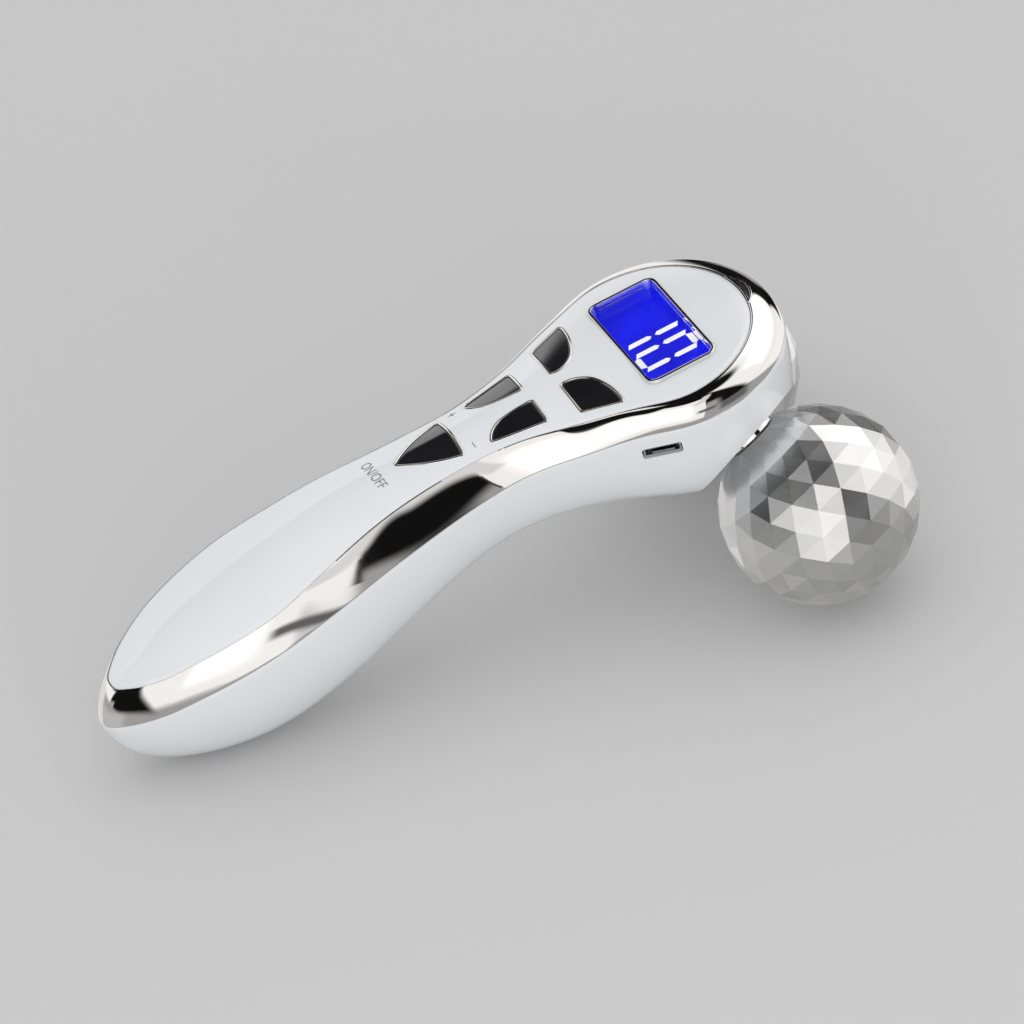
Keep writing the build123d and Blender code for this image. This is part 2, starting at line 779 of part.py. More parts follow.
with BuildPart() as charging_port:
    with BuildSketch(port_mouth):
        RectangleRounded(port_width, port_height, port_corner)
    extrude(amount=-port_depth)
    with BuildSketch(port_mouth):
        RectangleRounded(port_width - 2 * port_wall, port_height - 2 * port_wall, port_corner - port_wall / 2)
    extrude(amount=port_back - port_depth, mode=Mode.SUBTRACT)
    with BuildSketch(port_mouth.offset(port_wall - port_depth)):
        Rectangle(tongue_width, tongue_thickness)
    extrude(amount=port_depth - 2 * port_back)
finish(charging_port, "charging_port")

with BuildPart() as charging_board:
    with BuildSketch(port_plane(shelf_z + charging_board_thickness / 2).offset(-charging_board_recess)):
        Rectangle(charging_board_width, charging_board_thickness)
    extrude(amount=-charging_board_depth)
finish(charging_board, "charging_board")


# ---------------------------------------------------------------- main board
with BuildPart() as main_board:
    with BuildSketch(level(board_top)):
        add(seam_outline(board_inset))
        middle = (board_tail_x + board_head_x) / 2
        with Locations((middle, 0)):
            Rectangle(board_head_x - board_tail_x, 2 * head_radius, mode=Mode.INTERSECT)
    extrude(amount=-board_thickness)
    with BuildSketch(level(board_top)):
        with Locations(*board_post_spots):
            Circle(board_screw_radius + slip_fit)
    extrude(amount=-board_thickness, mode=Mode.SUBTRACT)
finish(main_board, "main_board")

with BuildPart() as controller_chip:
    with BuildSketch(level(board_top)):
        with Locations((chip_x, 0)):
            Rectangle(chip_size, chip_size)
    extrude(amount=chip_height)
finish(controller_chip, "controller_chip")

with BuildPart() as buzzer:
    with BuildSketch(level(board_top)):
        with Locations((buzzer_x, 0)):
            Circle(buzzer_radius)
    extrude(amount=buzzer_height)
    with BuildSketch(level(board_top + buzzer_height)):
        with Locations((buzzer_x, 0)):
            Circle(buzzer_hole_radius)
    extrude(amount=-buzzer_hole_depth, mode=Mode.SUBTRACT)
finish(buzzer, "buzzer")


def screws(name, height, spots, shank, length, head, head_height, slot):
    """Writes a group of cross-slotted screws with their heads on this level."""
    slot_length, slot_width, slot_depth = slot
    with BuildPart() as group:
        with BuildSketch(level(height)):
            with Locations(*spots):
                Circle(head)
        extrude(amount=head_height)
        with BuildSketch(level(height)):
            with Locations(*spots):
                Circle(shank - press_fit)
        extrude(amount=-length)
        with BuildSketch(level(height + head_height)):
            with Locations(*spots):
                Rectangle(slot_length, slot_width)
                Rectangle(slot_width, slot_length)
        extrude(amount=-slot_depth, mode=Mode.SUBTRACT)
    finish(group, name)


screws(
    "board_screws", board_top, board_post_spots, board_screw_radius, board_screw_length,
    board_screw_head_radius, board_screw_head_height, board_screw_slot,
)
screws(
    "bracket_screws", bracket_top, bracket_screw_spots, bracket_screw_radius, bracket_screw_length,
    bracket_screw_head_radius, bracket_screw_head_height, bracket_screw_slot,
)


# ---------------------------------------------------------------- cell
with BuildPart() as battery:
    with BuildSketch(cell_plane(-cell_length / 2)):
        Circle(cell_radius)
    extrude(amount=cell_length - terminal_height)
    with BuildSketch(cell_plane(cell_length / 2 - terminal_height)):
        Circle(terminal_radius)
    extrude(amount=terminal_height)
finish(battery, "battery")


# ---------------------------------------------------------------- axle bracket
with BuildPart() as axle_bracket:
    with BuildSketch(level(bracket_top)):
        with Locations((bracket_x, 0)):
            RectangleRounded(bracket_length, bracket_width, bracket_corner)
    extrude(amount=-bracket_thickness)
    for side in sides.values():
        with BuildSketch(axle_plane(side, sleeve_from)):
            Circle(sleeve_radius)
        extrude(amount=sleeve_length)
    for side in sides.values():
        with BuildSketch(axle_plane(side, scoop_radius)):
            Circle(axle_radius + press_fit)
        extrude(amount=2 * (axle_to - scoop_radius), mode=Mode.SUBTRACT)
        with Locations(roller_centre(side)):
            Sphere(scoop_radius + scoop_wall + bracket_gap, mode=Mode.SUBTRACT)
        with BuildSketch(axle_plane(side, scoop_radius)):
            Circle(boss_radius + bracket_gap)
        extrude(amount=boss_height + bracket_gap, mode=Mode.SUBTRACT)
    with BuildSketch(level(bracket_top)):
        with Locations(*bracket_screw_spots):
            Circle(bracket_screw_radius + slip_fit)
    extrude(amount=-bracket_thickness, mode=Mode.SUBTRACT)
finish(axle_bracket, "axle_bracket")


# ---------------------------------------------------------------- rollers and their axles
def roller_faces():
    """Flat triangles between the rings of corners, and the flat at the neck."""
    rings = roller_corners()
    points = [np.array(p) for ring in rings for p in ring]
    hull = ConvexHull(np.array(points))
    faces = []
    for corners, normal in zip(hull.simplices, hull.equations[:, :3]):
        if normal[2] > 0.999:
            continue
        a, b, c = (points[i] for i in corners)
        if np.dot(np.cross(b - a, c - a), normal) < 0:
            b, c = c, b
        faces.append(Face(Wire.make_polygon([Vector(*a), Vector(*b), Vector(*c)], close=True)))
    neck = [Vector(*p) for p in rings[-1]]
    faces.append(Face(Wire.make_polygon(neck, close=True)))
    return faces


roller_blank = Solid(Shell(roller_faces()))

for name, side in sides.items():
    with BuildPart() as roller:
        with Locations(axle_plane(side, 0)):
            add(roller_blank)
        with BuildSketch(axle_plane(side, roller_radius)):
            Circle(bush_radius + press_fit)
        extrude(amount=bush_from - roller_radius, mode=Mode.SUBTRACT)
        with BuildSketch(axle_plane(side, bush_from)):
            Circle(chamber_radius)
        extrude(amount=-chamber_depth, mode=Mode.SUBTRACT)
    finish(roller, f"{name}_roller")

    with BuildPart() as bush:
        with BuildSketch(axle_plane(side, bush_from)):
            Circle(bush_radius)
            Circle(axle_radius + running_gap, mode=Mode.SUBTRACT)
        extrude(amount=bush_to - bush_from)
    finish(bush, f"{name}_bush")

    with BuildPart() as axle:
        with BuildSketch(axle_plane(side, axle_from)):
            Circle(axle_radius)
        extrude(amount=axle_to - axle_from)
        chamfer(axle.edges().filter_by(GeomType.CIRCLE), length=axle_chamfer)
        with BuildSketch(axle_plane(side, bush_from - clip_gap)):
            Circle(2 * axle_radius)
            Circle(axle_radius - groove_depth, mode=Mode.SUBTRACT)
        extrude(amount=-clip_thickness - groove_room, mode=Mode.SUBTRACT)
    finish(axle, f"{name}_axle")

    with BuildPart() as clip:
        with BuildSketch(axle_plane(side, bush_from - clip_gap - groove_room / 2)):
            Circle(clip_radius)
            Circle(axle_radius - groove_depth + press_fit, mode=Mode.SUBTRACT)
            with Locations((clip_radius, 0)):
                Rectangle(2 * clip_radius, clip_mouth, mode=Mode.SUBTRACT)
        extrude(amount=-clip_thickness)
    finish(clip, f"{name}_clip")

    with BuildPart() as collar:
        with BuildSketch(axle_plane(side, neck_height + roller_side_gap)):
            Circle(collar_radius)
        extrude(amount=scoop_radius - neck_height)
        with Locations(roller_centre(side)):
            Sphere(scoop_radius - seat_gap, mode=Mode.INTERSECT)
        with BuildSketch(axle_plane(side, roller_radius)):
            Circle(spigot_radius)
        extrude(amount=spigot_to - roller_radius)
        with BuildSketch(axle_plane(side, neck_height)):
            Circle(axle_radius + press_fit)
        extrude(amount=spigot_to - neck_height, mode=Mode.SUBTRACT)
    finish(collar, f"{name}_collar")
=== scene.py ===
# %% [markdown]
# # Dressing a facial toning device
# The object is a hand-held face roller: a long curved handle in gloss white, a polished chrome band round its
# edge, five press keys, a small blue display, and two faceted balls that squeeze the skin between them.
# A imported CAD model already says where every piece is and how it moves. Here each visible surface gets the mesh
# and the finish that it has on the real thing. We start by loading that model. It stays fixed.

# %% Load the fixed frame
import json
from functools import partialmethod
from math import cos, pi, radians, sin

import bmesh
import bpy
import numpy as np
from mathutils import Matrix, Vector
from mathutils.bvhtree import BVHTree
from mathutils.interpolate import poly_3d_calc

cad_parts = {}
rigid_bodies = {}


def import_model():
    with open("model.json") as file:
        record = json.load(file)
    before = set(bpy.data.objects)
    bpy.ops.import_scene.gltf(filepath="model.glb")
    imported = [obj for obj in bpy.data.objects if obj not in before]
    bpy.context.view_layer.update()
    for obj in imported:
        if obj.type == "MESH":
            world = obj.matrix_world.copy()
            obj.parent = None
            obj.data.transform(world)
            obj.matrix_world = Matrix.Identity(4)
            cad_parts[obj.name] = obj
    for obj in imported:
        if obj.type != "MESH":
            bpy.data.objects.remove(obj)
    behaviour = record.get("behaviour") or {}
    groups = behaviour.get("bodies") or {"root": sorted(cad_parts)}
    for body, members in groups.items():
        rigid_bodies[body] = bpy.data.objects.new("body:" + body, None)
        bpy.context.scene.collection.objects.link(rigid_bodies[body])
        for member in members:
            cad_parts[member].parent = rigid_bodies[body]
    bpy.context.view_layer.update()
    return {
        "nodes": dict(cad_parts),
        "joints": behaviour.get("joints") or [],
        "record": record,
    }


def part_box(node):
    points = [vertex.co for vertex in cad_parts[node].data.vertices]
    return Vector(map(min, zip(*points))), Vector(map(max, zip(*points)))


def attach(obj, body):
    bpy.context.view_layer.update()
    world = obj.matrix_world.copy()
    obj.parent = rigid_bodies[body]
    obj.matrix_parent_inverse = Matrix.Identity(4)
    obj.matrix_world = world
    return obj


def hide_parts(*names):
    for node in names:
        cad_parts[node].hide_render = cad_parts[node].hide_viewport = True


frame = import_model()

MM = 0.001
slot_of_node = {part["node"]: part["material_slot"] for part in frame["record"]["subparts"]}

# %% [markdown]
# The device rests on its balls and its belly, so the face with the keys is tilted. Everything on that face is
# easier to place in the face's own coordinates: x towards the head, y to the left, z out of the display. The
# keys press straight into the face, so their joint gives its direction, and the display gives its middle.

# %% The deck: coordinates of the key face
panel_middle_z = -3.65
press = next(joint for joint in frame["joints"] if joint["name"] == "power_press")
deck_up = -np.array(press["axis"])
deck_left = np.array((0.0, 1.0, 0.0))
deck_ahead = np.cross(deck_left, deck_up)
deck_axes = np.array((deck_ahead, deck_left, deck_up))
panel_low, panel_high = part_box("display_panel")
deck_middle = np.array((panel_low + panel_high) / 2) - MM * panel_middle_z * deck_up


def place(points):
    """Deck coordinates in millimetres to metres in the frame."""
    return deck_middle + MM * (np.asarray(points, float) @ deck_axes)


def to_deck(points):
    """Metres in the frame to deck coordinates in millimetres."""
    return (np.array(points) - deck_middle) @ deck_axes.T / MM


def on_deck(node):
    """A CAD node's points in deck coordinates."""
    return to_deck([v.co for v in frame["nodes"][node].data.vertices])


def stand(spot, *axes):
    """A matrix that moves the origin to this spot and turns X, Y and Z to these directions."""
    return Matrix.Translation(Vector(spot)) @ Matrix(axes).transposed().to_4x4()


deck_matrix = stand(deck_middle, *deck_axes)
print("deck middle", deck_middle.round(4))

# %% [markdown]
# The case has no straight line in it. Its widths, heights and insets are smooth functions along the handle. They
# could be Blender curves, but a formula can be asked for its value at any place. The first kind, a natural
# spline, runs through its knots with an even bend, as a bent wooden batten does.

# %% The natural spline
def spline(x, y, ends=None):
    """A cubic spline through y at x, natural, or with these slopes at its ends."""
    x, y = np.asarray(x, float), np.asarray(y, float)
    h = np.diff(x)
    n = len(x)
    rise = np.diff(y, axis=0) / h.reshape(-1, *[1] * (y.ndim - 1))
    system, load = np.eye(n), np.zeros(y.shape)
    for i in range(1, n - 1):
        system[i, i - 1:i + 2] = h[i - 1], 2 * (h[i - 1] + h[i]), h[i]
        load[i] = 6 * (rise[i] - rise[i - 1])
    if ends is not None:
        system[0, :2] = 2 * h[0], h[0]
        system[-1, -2:] = h[-1], 2 * h[-1]
        load[0], load[-1] = 6 * (rise[0] - ends[0]), 6 * (ends[1] - rise[-1])
    bend = np.linalg.solve(system, load)

    def at(v):
        v = np.asarray(v, float)
        i = np.clip(np.searchsorted(x, v) - 1, 0, n - 2)
        gap, before, after = (a.reshape(a.shape + (1,) * (y.ndim - 1)) for a in (h[i], x[i + 1] - v, v - x[i]))
        curved = (bend[i] * before ** 3 + bend[i + 1] * after ** 3) / (6 * gap)
        return curved + (y[i] / gap - bend[i] * gap / 6) * before + (y[i + 1] / gap - bend[i + 1] * gap / 6) * after

    return at


def natural(*knots):
    """A spline through the knots, each (x, value)."""
    return spline(*zip(*knots))


print("batten through (0, 0), (1, 1), (2, 0) at 0.5:", round(float(natural((0, 0), (1, 1), (2, 0))(0.5)), 4))

# %% [markdown]
# The second kind, a gentle curve, never swings past its knots. Insets and depths use it, because a swing of a
# tenth of a millimetre would already show as a wobble in the band.

# %% The gentle curve
def gentle(*knots):
    """A monotone curve through the knots, each (x, value)."""
    x, y = np.array(knots, float).T
    h, rise = np.diff(x), np.diff(y) / np.diff(x)
    slope = np.zeros(len(x))
    for i in range(1, len(x) - 1):
        if rise[i - 1] * rise[i] > 0:
            w1, w2 = 2 * h[i] + h[i - 1], h[i] + 2 * h[i - 1]
            slope[i] = (w1 + w2) / (w1 / rise[i - 1] + w2 / rise[i])
    slope[0], slope[-1] = rise[0], rise[-1]

    def at(v):
        v = np.asarray(v, float)
        i = np.clip(np.searchsorted(x, v) - 1, 0, len(x) - 2)
        t = (v - x[i]) / h[i]
        start = (1 + 2 * t) * (1 - t) ** 2 * y[i] + t * (1 - t) ** 2 * h[i] * slope[i]
        return start + t * t * (3 - 2 * t) * y[i + 1] + t * t * (t - 1) * h[i] * slope[i + 1]

    return at


print("gentle rise from 0 to 1 to 1 at 1.5:", float(gentle((0, 0), (1, 1), (2, 1))(1.5)))

# %% [markdown]
# These are the driving sizes of the case, the same as in the CAD model, in millimetres on the deck: where the
# tail, the grip, the waist and the head are, and how the skin crowns, the band drops and the keel hangs.

# %% Driving sizes of the case
tail_x, grip_x, waist_x, head_x = -129.9, -88.0, -40.3, 1.3
grip_half_width, waist_half_width, head_radius = 16.6, 12.9, 24.3
head_tip = head_x + head_radius
cover_wall, seam_gap, band_wall, shell_wall, rim_gap, cover_skirt = 1.8, 0.12, 2.4, 1.8, 0.1, 3.0

crown = natural(
    (tail_x - 4, -20.3), (tail_x + 4, -17.6), (tail_x + 11, -13.9), (tail_x + 20, -10.4), (-99, -7.4),
    (grip_x, -4.9), (-79, -3.1), (-70, -1.6), (-60, -0.9), (waist_x, -0.4), (-20, -0.15), (0, 0),
    (head_x + 9, -0.25), (head_tip - 5.7, -1.2), (head_tip + 4, -2.9),
)
crown_radius = gentle(
    (tail_x - 4, 13), (tail_x + 12, 19), (tail_x + 20, 27), (-95, 32), (-79, 28), (-60, 20.5), (-45, 19.2),
    (-27, 44), (-9, 150), (head_tip + 4, 172),
)
seam_inset = gentle(
    (tail_x, 4.4), (tail_x + 8, 2.7), (tail_x + 20, 2.3), (-95, 2.4), (-80, 4.4), (-62, 5.8), (-45, 4.7),
    (-30, 3.6), (-17, 3.0), (-5, 3.3), (2, 4.0), (15, 5.2), (head_tip, 5.8),
)
band_drop = gentle(
    (tail_x, 7.6), (tail_x + 20, 7.2), (-75, 7.0), (-50, 6.4), (-30, 5.6), (-5, 5.0), (head_tip, 5.4),
)
band_bulge_out = gentle((tail_x, 0.65), (grip_x, 0.6), (-50, 0.55), (-25, 0.7), (0, 0.9), (head_tip, 0.9))
band_bulge_down = gentle((tail_x, 0.3), (grip_x, 0.35), (-50, 0.42), (-25, 0.3), (0, 0.12), (head_tip, 0.12))
keel = natural(
    (tail_x + 23.9, -43.9), (-98, -44.4), (-86, -42.2), (-72, -37.4), (-58, -32.0), (-44, -28.4), (-30, -28.2),
    (-16, -30.2), (-4, -33.4), (head_x + 1.9, -34.5),
)
fullness = gentle(
    (tail_x + 23.9, 0.52), (-98, 0.56), (-72, 0.57), (-44, 0.58), (-25, 0.62), (-10, 0.70), (head_x + 1.9, 0.77),
)
foot_of = gentle(
    (tail_x, tail_x + 23.9), (tail_x + 3, tail_x + 24.4), (tail_x + 10, tail_x + 25.9), (tail_x + 22, tail_x + 31),
    (-95, -92), (-80, -80), (-60, -60), (-40, -40), (-20, -17), (-12, -9), (0, head_x - 2.3),
    (12, head_x + 0.2), (22, head_x + 1.5), (head_tip + 0.2, head_x + 1.9),
)


def roof(x, y):
    """Height of the cover's skin above the deck."""
    return crown(x) - y * y / (2 * crown_radius(x))


print("case length", head_tip - tail_x, "mm, skin over the waist at", float(roof(waist_x, 0)), "mm")

# %% [markdown]
# The outline of the case is one smooth half curve from the tip of the tail to the tip of the head, square to
# the centre line at both tips. Upright pages then stand on the centre line like the pages of a fanned book, and
# each page carries one section of the case. That makes clean rows of quads, which a mirror-bright band needs:
# any unevenness in its mesh would show in the reflections.

# %% The outline and the pages that fan round it
edge_knots = [
    (tail_x, 0), (tail_x + 0.4, 0.132 * grip_half_width), (tail_x + 2.3, 0.277 * grip_half_width),
    (tail_x + 6.7, 0.482 * grip_half_width), (tail_x + 12.1, 0.663 * grip_half_width),
    (tail_x + 17.9, 0.795 * grip_half_width), (tail_x + 24.9, 0.904 * grip_half_width),
    (grip_x - 9.0, 0.976 * grip_half_width), (grip_x, grip_half_width), (grip_x + 10.7, 0.988 * grip_half_width),
    (grip_x + 21.5, 0.934 * grip_half_width), (grip_x + 33, 0.32 * grip_half_width + 0.68 * waist_half_width),
    (waist_x - 5.7, 1.015 * waist_half_width), (waist_x, waist_half_width),
    (waist_x + 6.3, 1.054 * waist_half_width), (waist_x + 12.3, 1.171 * waist_half_width),
    (head_x - 0.877 * head_radius, 0.733 * head_radius), (head_x - 0.580 * head_radius, 0.840 * head_radius),
]
for angle in (105, 90, 68, 45, 22.5, 0):
    edge_knots.append((head_x + head_radius * cos(radians(angle)), head_radius * sin(radians(angle))))
edge_knots = np.array(edge_knots)
steps = np.hypot(*np.diff(edge_knots, axis=0).T)
outline = spline(np.append(0, np.cumsum(steps)) / steps.sum(), edge_knots, ((0, steps.sum()), (0, -steps.sum())))

page_count, tip_crowding, blur_width = 181, 0.3, 3.0


def even_out(values):
    """Takes the last unevenness out of a measure that runs from tip to tip."""
    reach = int(4 * blur_width)
    weights = np.exp(-0.5 * (np.arange(-reach, reach + 1) / blur_width) ** 2)
    padded = np.pad(values, reach, mode="reflect")
    return np.convolve(padded, weights / weights.sum(), mode="valid")


class pages:
    """One entry for each page, from the tail's tip to the head's tip, on the left side."""

    even = np.linspace(0, 1, page_count)
    share = (1 - tip_crowding) * even + tip_crowding * (0.5 - 0.5 * np.cos(pi * even))
    edge = outline(share)
    foot = even_out(foot_of(edge[:, 0]))
    run = edge - np.stack((foot, 0 * foot), axis=1)
    reach = np.hypot(*run.T)
    run = run / reach[:, None]
    inset = even_out(seam_inset(edge[:, 0]))
    seam = reach - inset
    seam_z = roof(foot + seam * run[:, 0], seam * run[:, 1])
    drop = even_out(band_drop(edge[:, 0]))
    rim_z = seam_z - drop
    out = even_out(band_bulge_out(edge[:, 0]))
    down = even_out(band_bulge_down(edge[:, 0]))
    keel_z = keel(foot)
    full = even_out(fullness(foot))


print("outline", len(edge_knots), "knots,", page_count, "pages")

# %% [markdown]
# A helper turns sections into a mesh. It gets, for every page, the distance from the centre line and the height
# of each point, mirrors the pages to the right side, and joins neighbours with quads. Where a section starts or
# ends on the centre line, the left and right halves meet there and their doubles are merged. A lofted surface
# would be quicker to write, but its quads would not follow the flow of the band.

# %% From sections to a mesh
def add_object(name, data):
    """A new object with this data, in the scene."""
    thing = bpy.data.objects.new(name, data)
    bpy.context.scene.collection.objects.link(thing)
    return thing


def new_piece(name, points, faces):
    """A mesh object with outward faces and no doubled points."""
    mesh = bpy.data.meshes.new(name)
    mesh.from_pydata([tuple(p) for p in points], [], faces)
    work = bmesh.new()
    work.from_mesh(mesh)
    bmesh.ops.remove_doubles(work, verts=work.verts, dist=1e-7)
    bmesh.ops.recalc_face_normals(work, faces=work.faces)
    work.to_mesh(mesh)
    work.free()
    return add_object(name, mesh)


def quads(rows, columns, rows_meet=True, columns_meet=True):
    """Faces on a grid of points whose last row and last column meet the first ones again, or don't."""
    faces = []
    for i in range(rows if rows_meet else rows - 1):
        for j in range(columns if columns_meet else columns - 1):
            k, m = (i + 1) % rows, (j + 1) % columns
            faces.append((i * columns + j, i * columns + m, k * columns + m, k * columns + j))
    return faces


def sweep(name, r, z, closed):
    """The mesh through all pages of sections with these radii and heights, closed into a tube or not."""
    x = pages.foot[:, None] + r * pages.run[:, 0, None]
    half = np.stack((x, r * pages.run[:, 1, None], z), axis=2)
    loop = np.concatenate((half, half[-2:0:-1] * (1, -1, 1)))
    return new_piece(name, place(loop.reshape(-1, 3)), quads(*loop.shape[:2], columns_meet=closed))


# %% [markdown]
# Three more helpers see to the meshes that follow. Smooth shading makes many quads look like one surface, but a
# real edge has to stay crisp. Modifiers do the hard work, and their result is then kept as a plain mesh. And a
# shape often has to be remembered as it was before a cut, so there is a way to make its twin.

# %% Shading, baking and twins
def shade(piece, angle=35):
    """Smooth shading, with edges sharper than this angle left crisp."""
    piece.data.shade_smooth()
    piece.data.set_sharp_from_angle(angle=radians(angle))


def bake(piece):
    """Replaces a piece's mesh by what its modifiers make of it."""
    evaluated = piece.evaluated_get(bpy.context.evaluated_depsgraph_get())
    piece.data = bpy.data.meshes.new_from_object(evaluated)
    piece.modifiers.clear()


def twin(piece):
    """A copy of a piece with a mesh of its own."""
    copied = piece.copy()
    copied.data = piece.data.copy()
    return copied


# %% [markdown]
# The chrome band is a closed ring with a full, rounded face. Its face is a curve pulled out by one control
# point, and both of its edges are rolled over by a tenth or two of a millimetre, because a plated edge is never
# knife sharp and catches a thin line of light.

# %% The chrome band
edge_roll, face_rows = 0.14, 22


def stacked(*pairs):
    """Stacks (radius, height) pairs, each one number or one for each page, into two arrays."""
    full = [(np.broadcast_to(r, page_count), np.broadcast_to(z, page_count)) for r, z in pairs]
    return np.stack([r for r, _ in full], axis=1), np.stack([z for _, z in full], axis=1)


def band_face(t):
    """The band's face: 0 at the seam, 1 at the rim."""
    bulge_r, bulge_z = pages.seam + pages.out * pages.inset, pages.seam_z - pages.down * pages.drop
    r = (1 - t) ** 2 * pages.seam + 2 * t * (1 - t) * bulge_r + t * t * pages.reach
    z = (1 - t) ** 2 * pages.seam_z + 2 * t * (1 - t) * bulge_z + t * t * pages.rim_z
    return r, z


band_pairs = [
    (pages.seam, pages.seam_z - cover_skirt - 0.3),
    (pages.seam, pages.seam_z - 3 * edge_roll),
    (pages.seam + 0.02, pages.seam_z - edge_roll),
    (pages.seam + 0.3 * edge_roll, pages.seam_z - 0.3 * edge_roll),
    *(band_face(t) for t in np.linspace(0.03, 0.975, face_rows)),
    (pages.reach - 0.02, pages.rim_z + 0.3 * edge_roll),
    (pages.reach - 0.5 * edge_roll, pages.rim_z),
    (pages.reach - 3 * edge_roll, pages.rim_z),
    (pages.reach - band_wall, pages.rim_z),
]
chrome_ring = sweep("chrome_ring", *stacked(*band_pairs), closed=True)
print("chrome ring:", len(chrome_ring.data.polygons), "faces")

# %% [markdown]
# The lower shell hangs from the band: down from the rim, round the belly, to the keel. It is first made as one
# closed body, and a smaller body of the same kind is then taken out of it, so that it is a real moulding with a
# wall. Two ball scoops, the axle holes and the charging slot are cut with Boolean modifiers.

# %% The lower shell, before its cuts
scoop_radius, scoop_wall, rim_roll_in, body_rows = 24.0, 2.0, 0.35, 44


def body_curve(t, inset):
    """The shell's section: 0 at the rim, 1 at the keel."""
    reach, low, rim = pages.reach - inset, pages.keel_z + inset, pages.rim_z - rim_gap
    side_z = rim + pages.full * (low - rim)
    r = (1 - t) ** 3 * reach + 3 * t * (1 - t) ** 2 * reach + 3 * t * t * (1 - t) * pages.full * reach
    z = (1 - t) ** 3 * rim + 3 * t * (1 - t) ** 2 * side_z + (3 * t * t * (1 - t) + t ** 3) * low
    return r, z


def closed_body(name, inset, lift):
    """The closed body inside the section pulled in by inset, lifted above the rim."""
    reach, top = pages.reach - inset, pages.rim_z - rim_gap + lift
    pairs = [(0, top), (0.5 * reach, top), (reach - rim_roll_in, top), (reach - 0.1, top)]
    pairs += [body_curve(t, inset) for t in np.linspace(0.0 if lift else 0.006, 1, body_rows)]
    return sweep(name, *stacked(*pairs), closed=False)


lower_case = closed_body("lower_case", 0, 0)
print("lower case:", len(lower_case.data.polygons), "faces before its cuts")

# %% [markdown]
# The places of the balls and their axles come from the frame: each ball's spin joint gives its middle and its
# axis. The charging slot stands on the outline, square to it.

# %% Axles and the port in the frame
axles = {}
for joint in frame["joints"]:
    if joint["name"].endswith("_roller_spin"):
        side = joint["name"].split("_")[0]
        axles[side] = Vector(joint["pos_m"]), Vector(joint["axis"]).normalized()


def on_axle(side):
    """A matrix at the middle of this side's ball, with its Z axis up the axle."""
    middle, lean = axles[side]
    across = Vector(deck_left).cross(lean).normalized()
    return stand(middle, across, lean.cross(across), lean)


port_x, port_z, port_width, port_height, slot_margin, slot_corner = -11.0, -10.9, 7.5, 2.2, 0.25, 0.6
port_share = np.interp(port_x, pages.edge[:, 0], pages.share)
port_y = float(outline(port_share)[1])
ahead_of_port, behind_port = outline(port_share + 0.002), outline(port_share - 0.002)
port_run = (ahead_of_port - behind_port) / np.linalg.norm(ahead_of_port - behind_port)
port_out = deck_ahead * -port_run[1] - deck_left * port_run[0]
port_spot = place((port_x, -port_y, port_z))
port_matrix = stand(port_spot, np.cross(deck_up, port_out), deck_up, port_out)
print("port at", port_spot.round(4))

# %% [markdown]
# Openings are cut with simple solids: an upright prism over a flat outline, and a ball. Modelling the holes by
# hand would break the clean rows of quads, so each tool is taken out by a Boolean modifier that is baked at once.

# %% Cutting tools
def prism(name, outline_points, low, high, matrix):
    """An upright prism over a flat outline, in millimetres, placed by a matrix."""
    n = len(outline_points)
    points = [matrix @ (Vector((x, y, z)) * MM) for z in (low, high) for x, y in outline_points]
    ends = [tuple(range(n)), tuple(range(n, 2 * n))]
    return new_piece(name, points, ends + quads(2, n, rows_meet=False))


def round_outline(radius, count=64):
    """A circle's points."""
    turns = [2 * pi * i / count for i in range(count)]
    return [(radius * cos(a), radius * sin(a)) for a in turns]


def rounded_box(width, height, corner, count=8):
    """A rounded rectangle's points, anticlockwise."""
    points = []
    for quarter, (sx, sy) in enumerate(((1, 1), (-1, 1), (-1, -1), (1, -1))):
        for i in range(count + 1):
            a = (quarter + i / count) * pi / 2
            x, y = sx * (width / 2 - corner), sy * (height / 2 - corner)
            points.append((x + corner * cos(a), y + corner * sin(a)))
    return points


def ball(name, radius, matrix, segments=128):
    """A fine ball, for cutting scoops."""
    mesh = bpy.data.meshes.new(name)
    work = bmesh.new()
    bmesh.ops.create_uvsphere(
        work, u_segments=segments, v_segments=segments // 2, radius=radius * MM, matrix=matrix,
    )
    work.to_mesh(mesh)
    work.free()
    return add_object(name, mesh)


def carve(piece, tool, keep=False):
    """Takes the tool's volume out of the piece."""
    cut = piece.modifiers.new("cut", "BOOLEAN")
    cut.operation, cut.solver, cut.object = "DIFFERENCE", "EXACT", tool
    bake(piece)
    if not keep:
        bpy.data.objects.remove(tool)


# %% [markdown]
# A Boolean leaves odd little faces along a cut, and their shading would ripple. A finer mesh would only make the
# ripples smaller. The cure is to keep the uncut shapes as patterns: every corner of the cut piece takes the
# normal that the pattern has at the same spot.

# %% Normals from the uncut patterns
def polish(piece, *patterns, reach=0.02, agree=0.9):
    """Gives a cut piece the flowing normals of the shapes that its faces came from."""
    shade(piece)
    mesh = piece.data
    trees = [
        BVHTree.FromPolygons([v.co for v in p.data.vertices], [f.vertices for f in p.data.polygons])
        for p in patterns
    ]
    normals = [Vector(corner.vector) for corner in mesh.corner_normals]
    for face in mesh.polygons:
        for tree, pattern in zip(trees, patterns):
            spot, flat, index, far = tree.find_nearest(face.center)
            if far < reach * MM and abs(flat.dot(face.normal)) > agree:
                sign = 1 if flat.dot(face.normal) > 0 else -1
                for corner in face.loop_indices:
                    co = mesh.vertices[mesh.loops[corner].vertex_index].co
                    spot, flat, index, far = tree.find_nearest(co)
                    under = [pattern.data.vertices[v] for v in pattern.data.polygons[index].vertices]
                    weights = poly_3d_calc([v.co for v in under], spot)
                    blend = sum((v.normal * w for v, w in zip(under, weights)), Vector())
                    if sign * blend.dot(face.normal) > 0.5 * blend.length:
                        normals[corner] = (sign * blend).normalized()
                break
    mesh.normals_split_custom_set(normals)


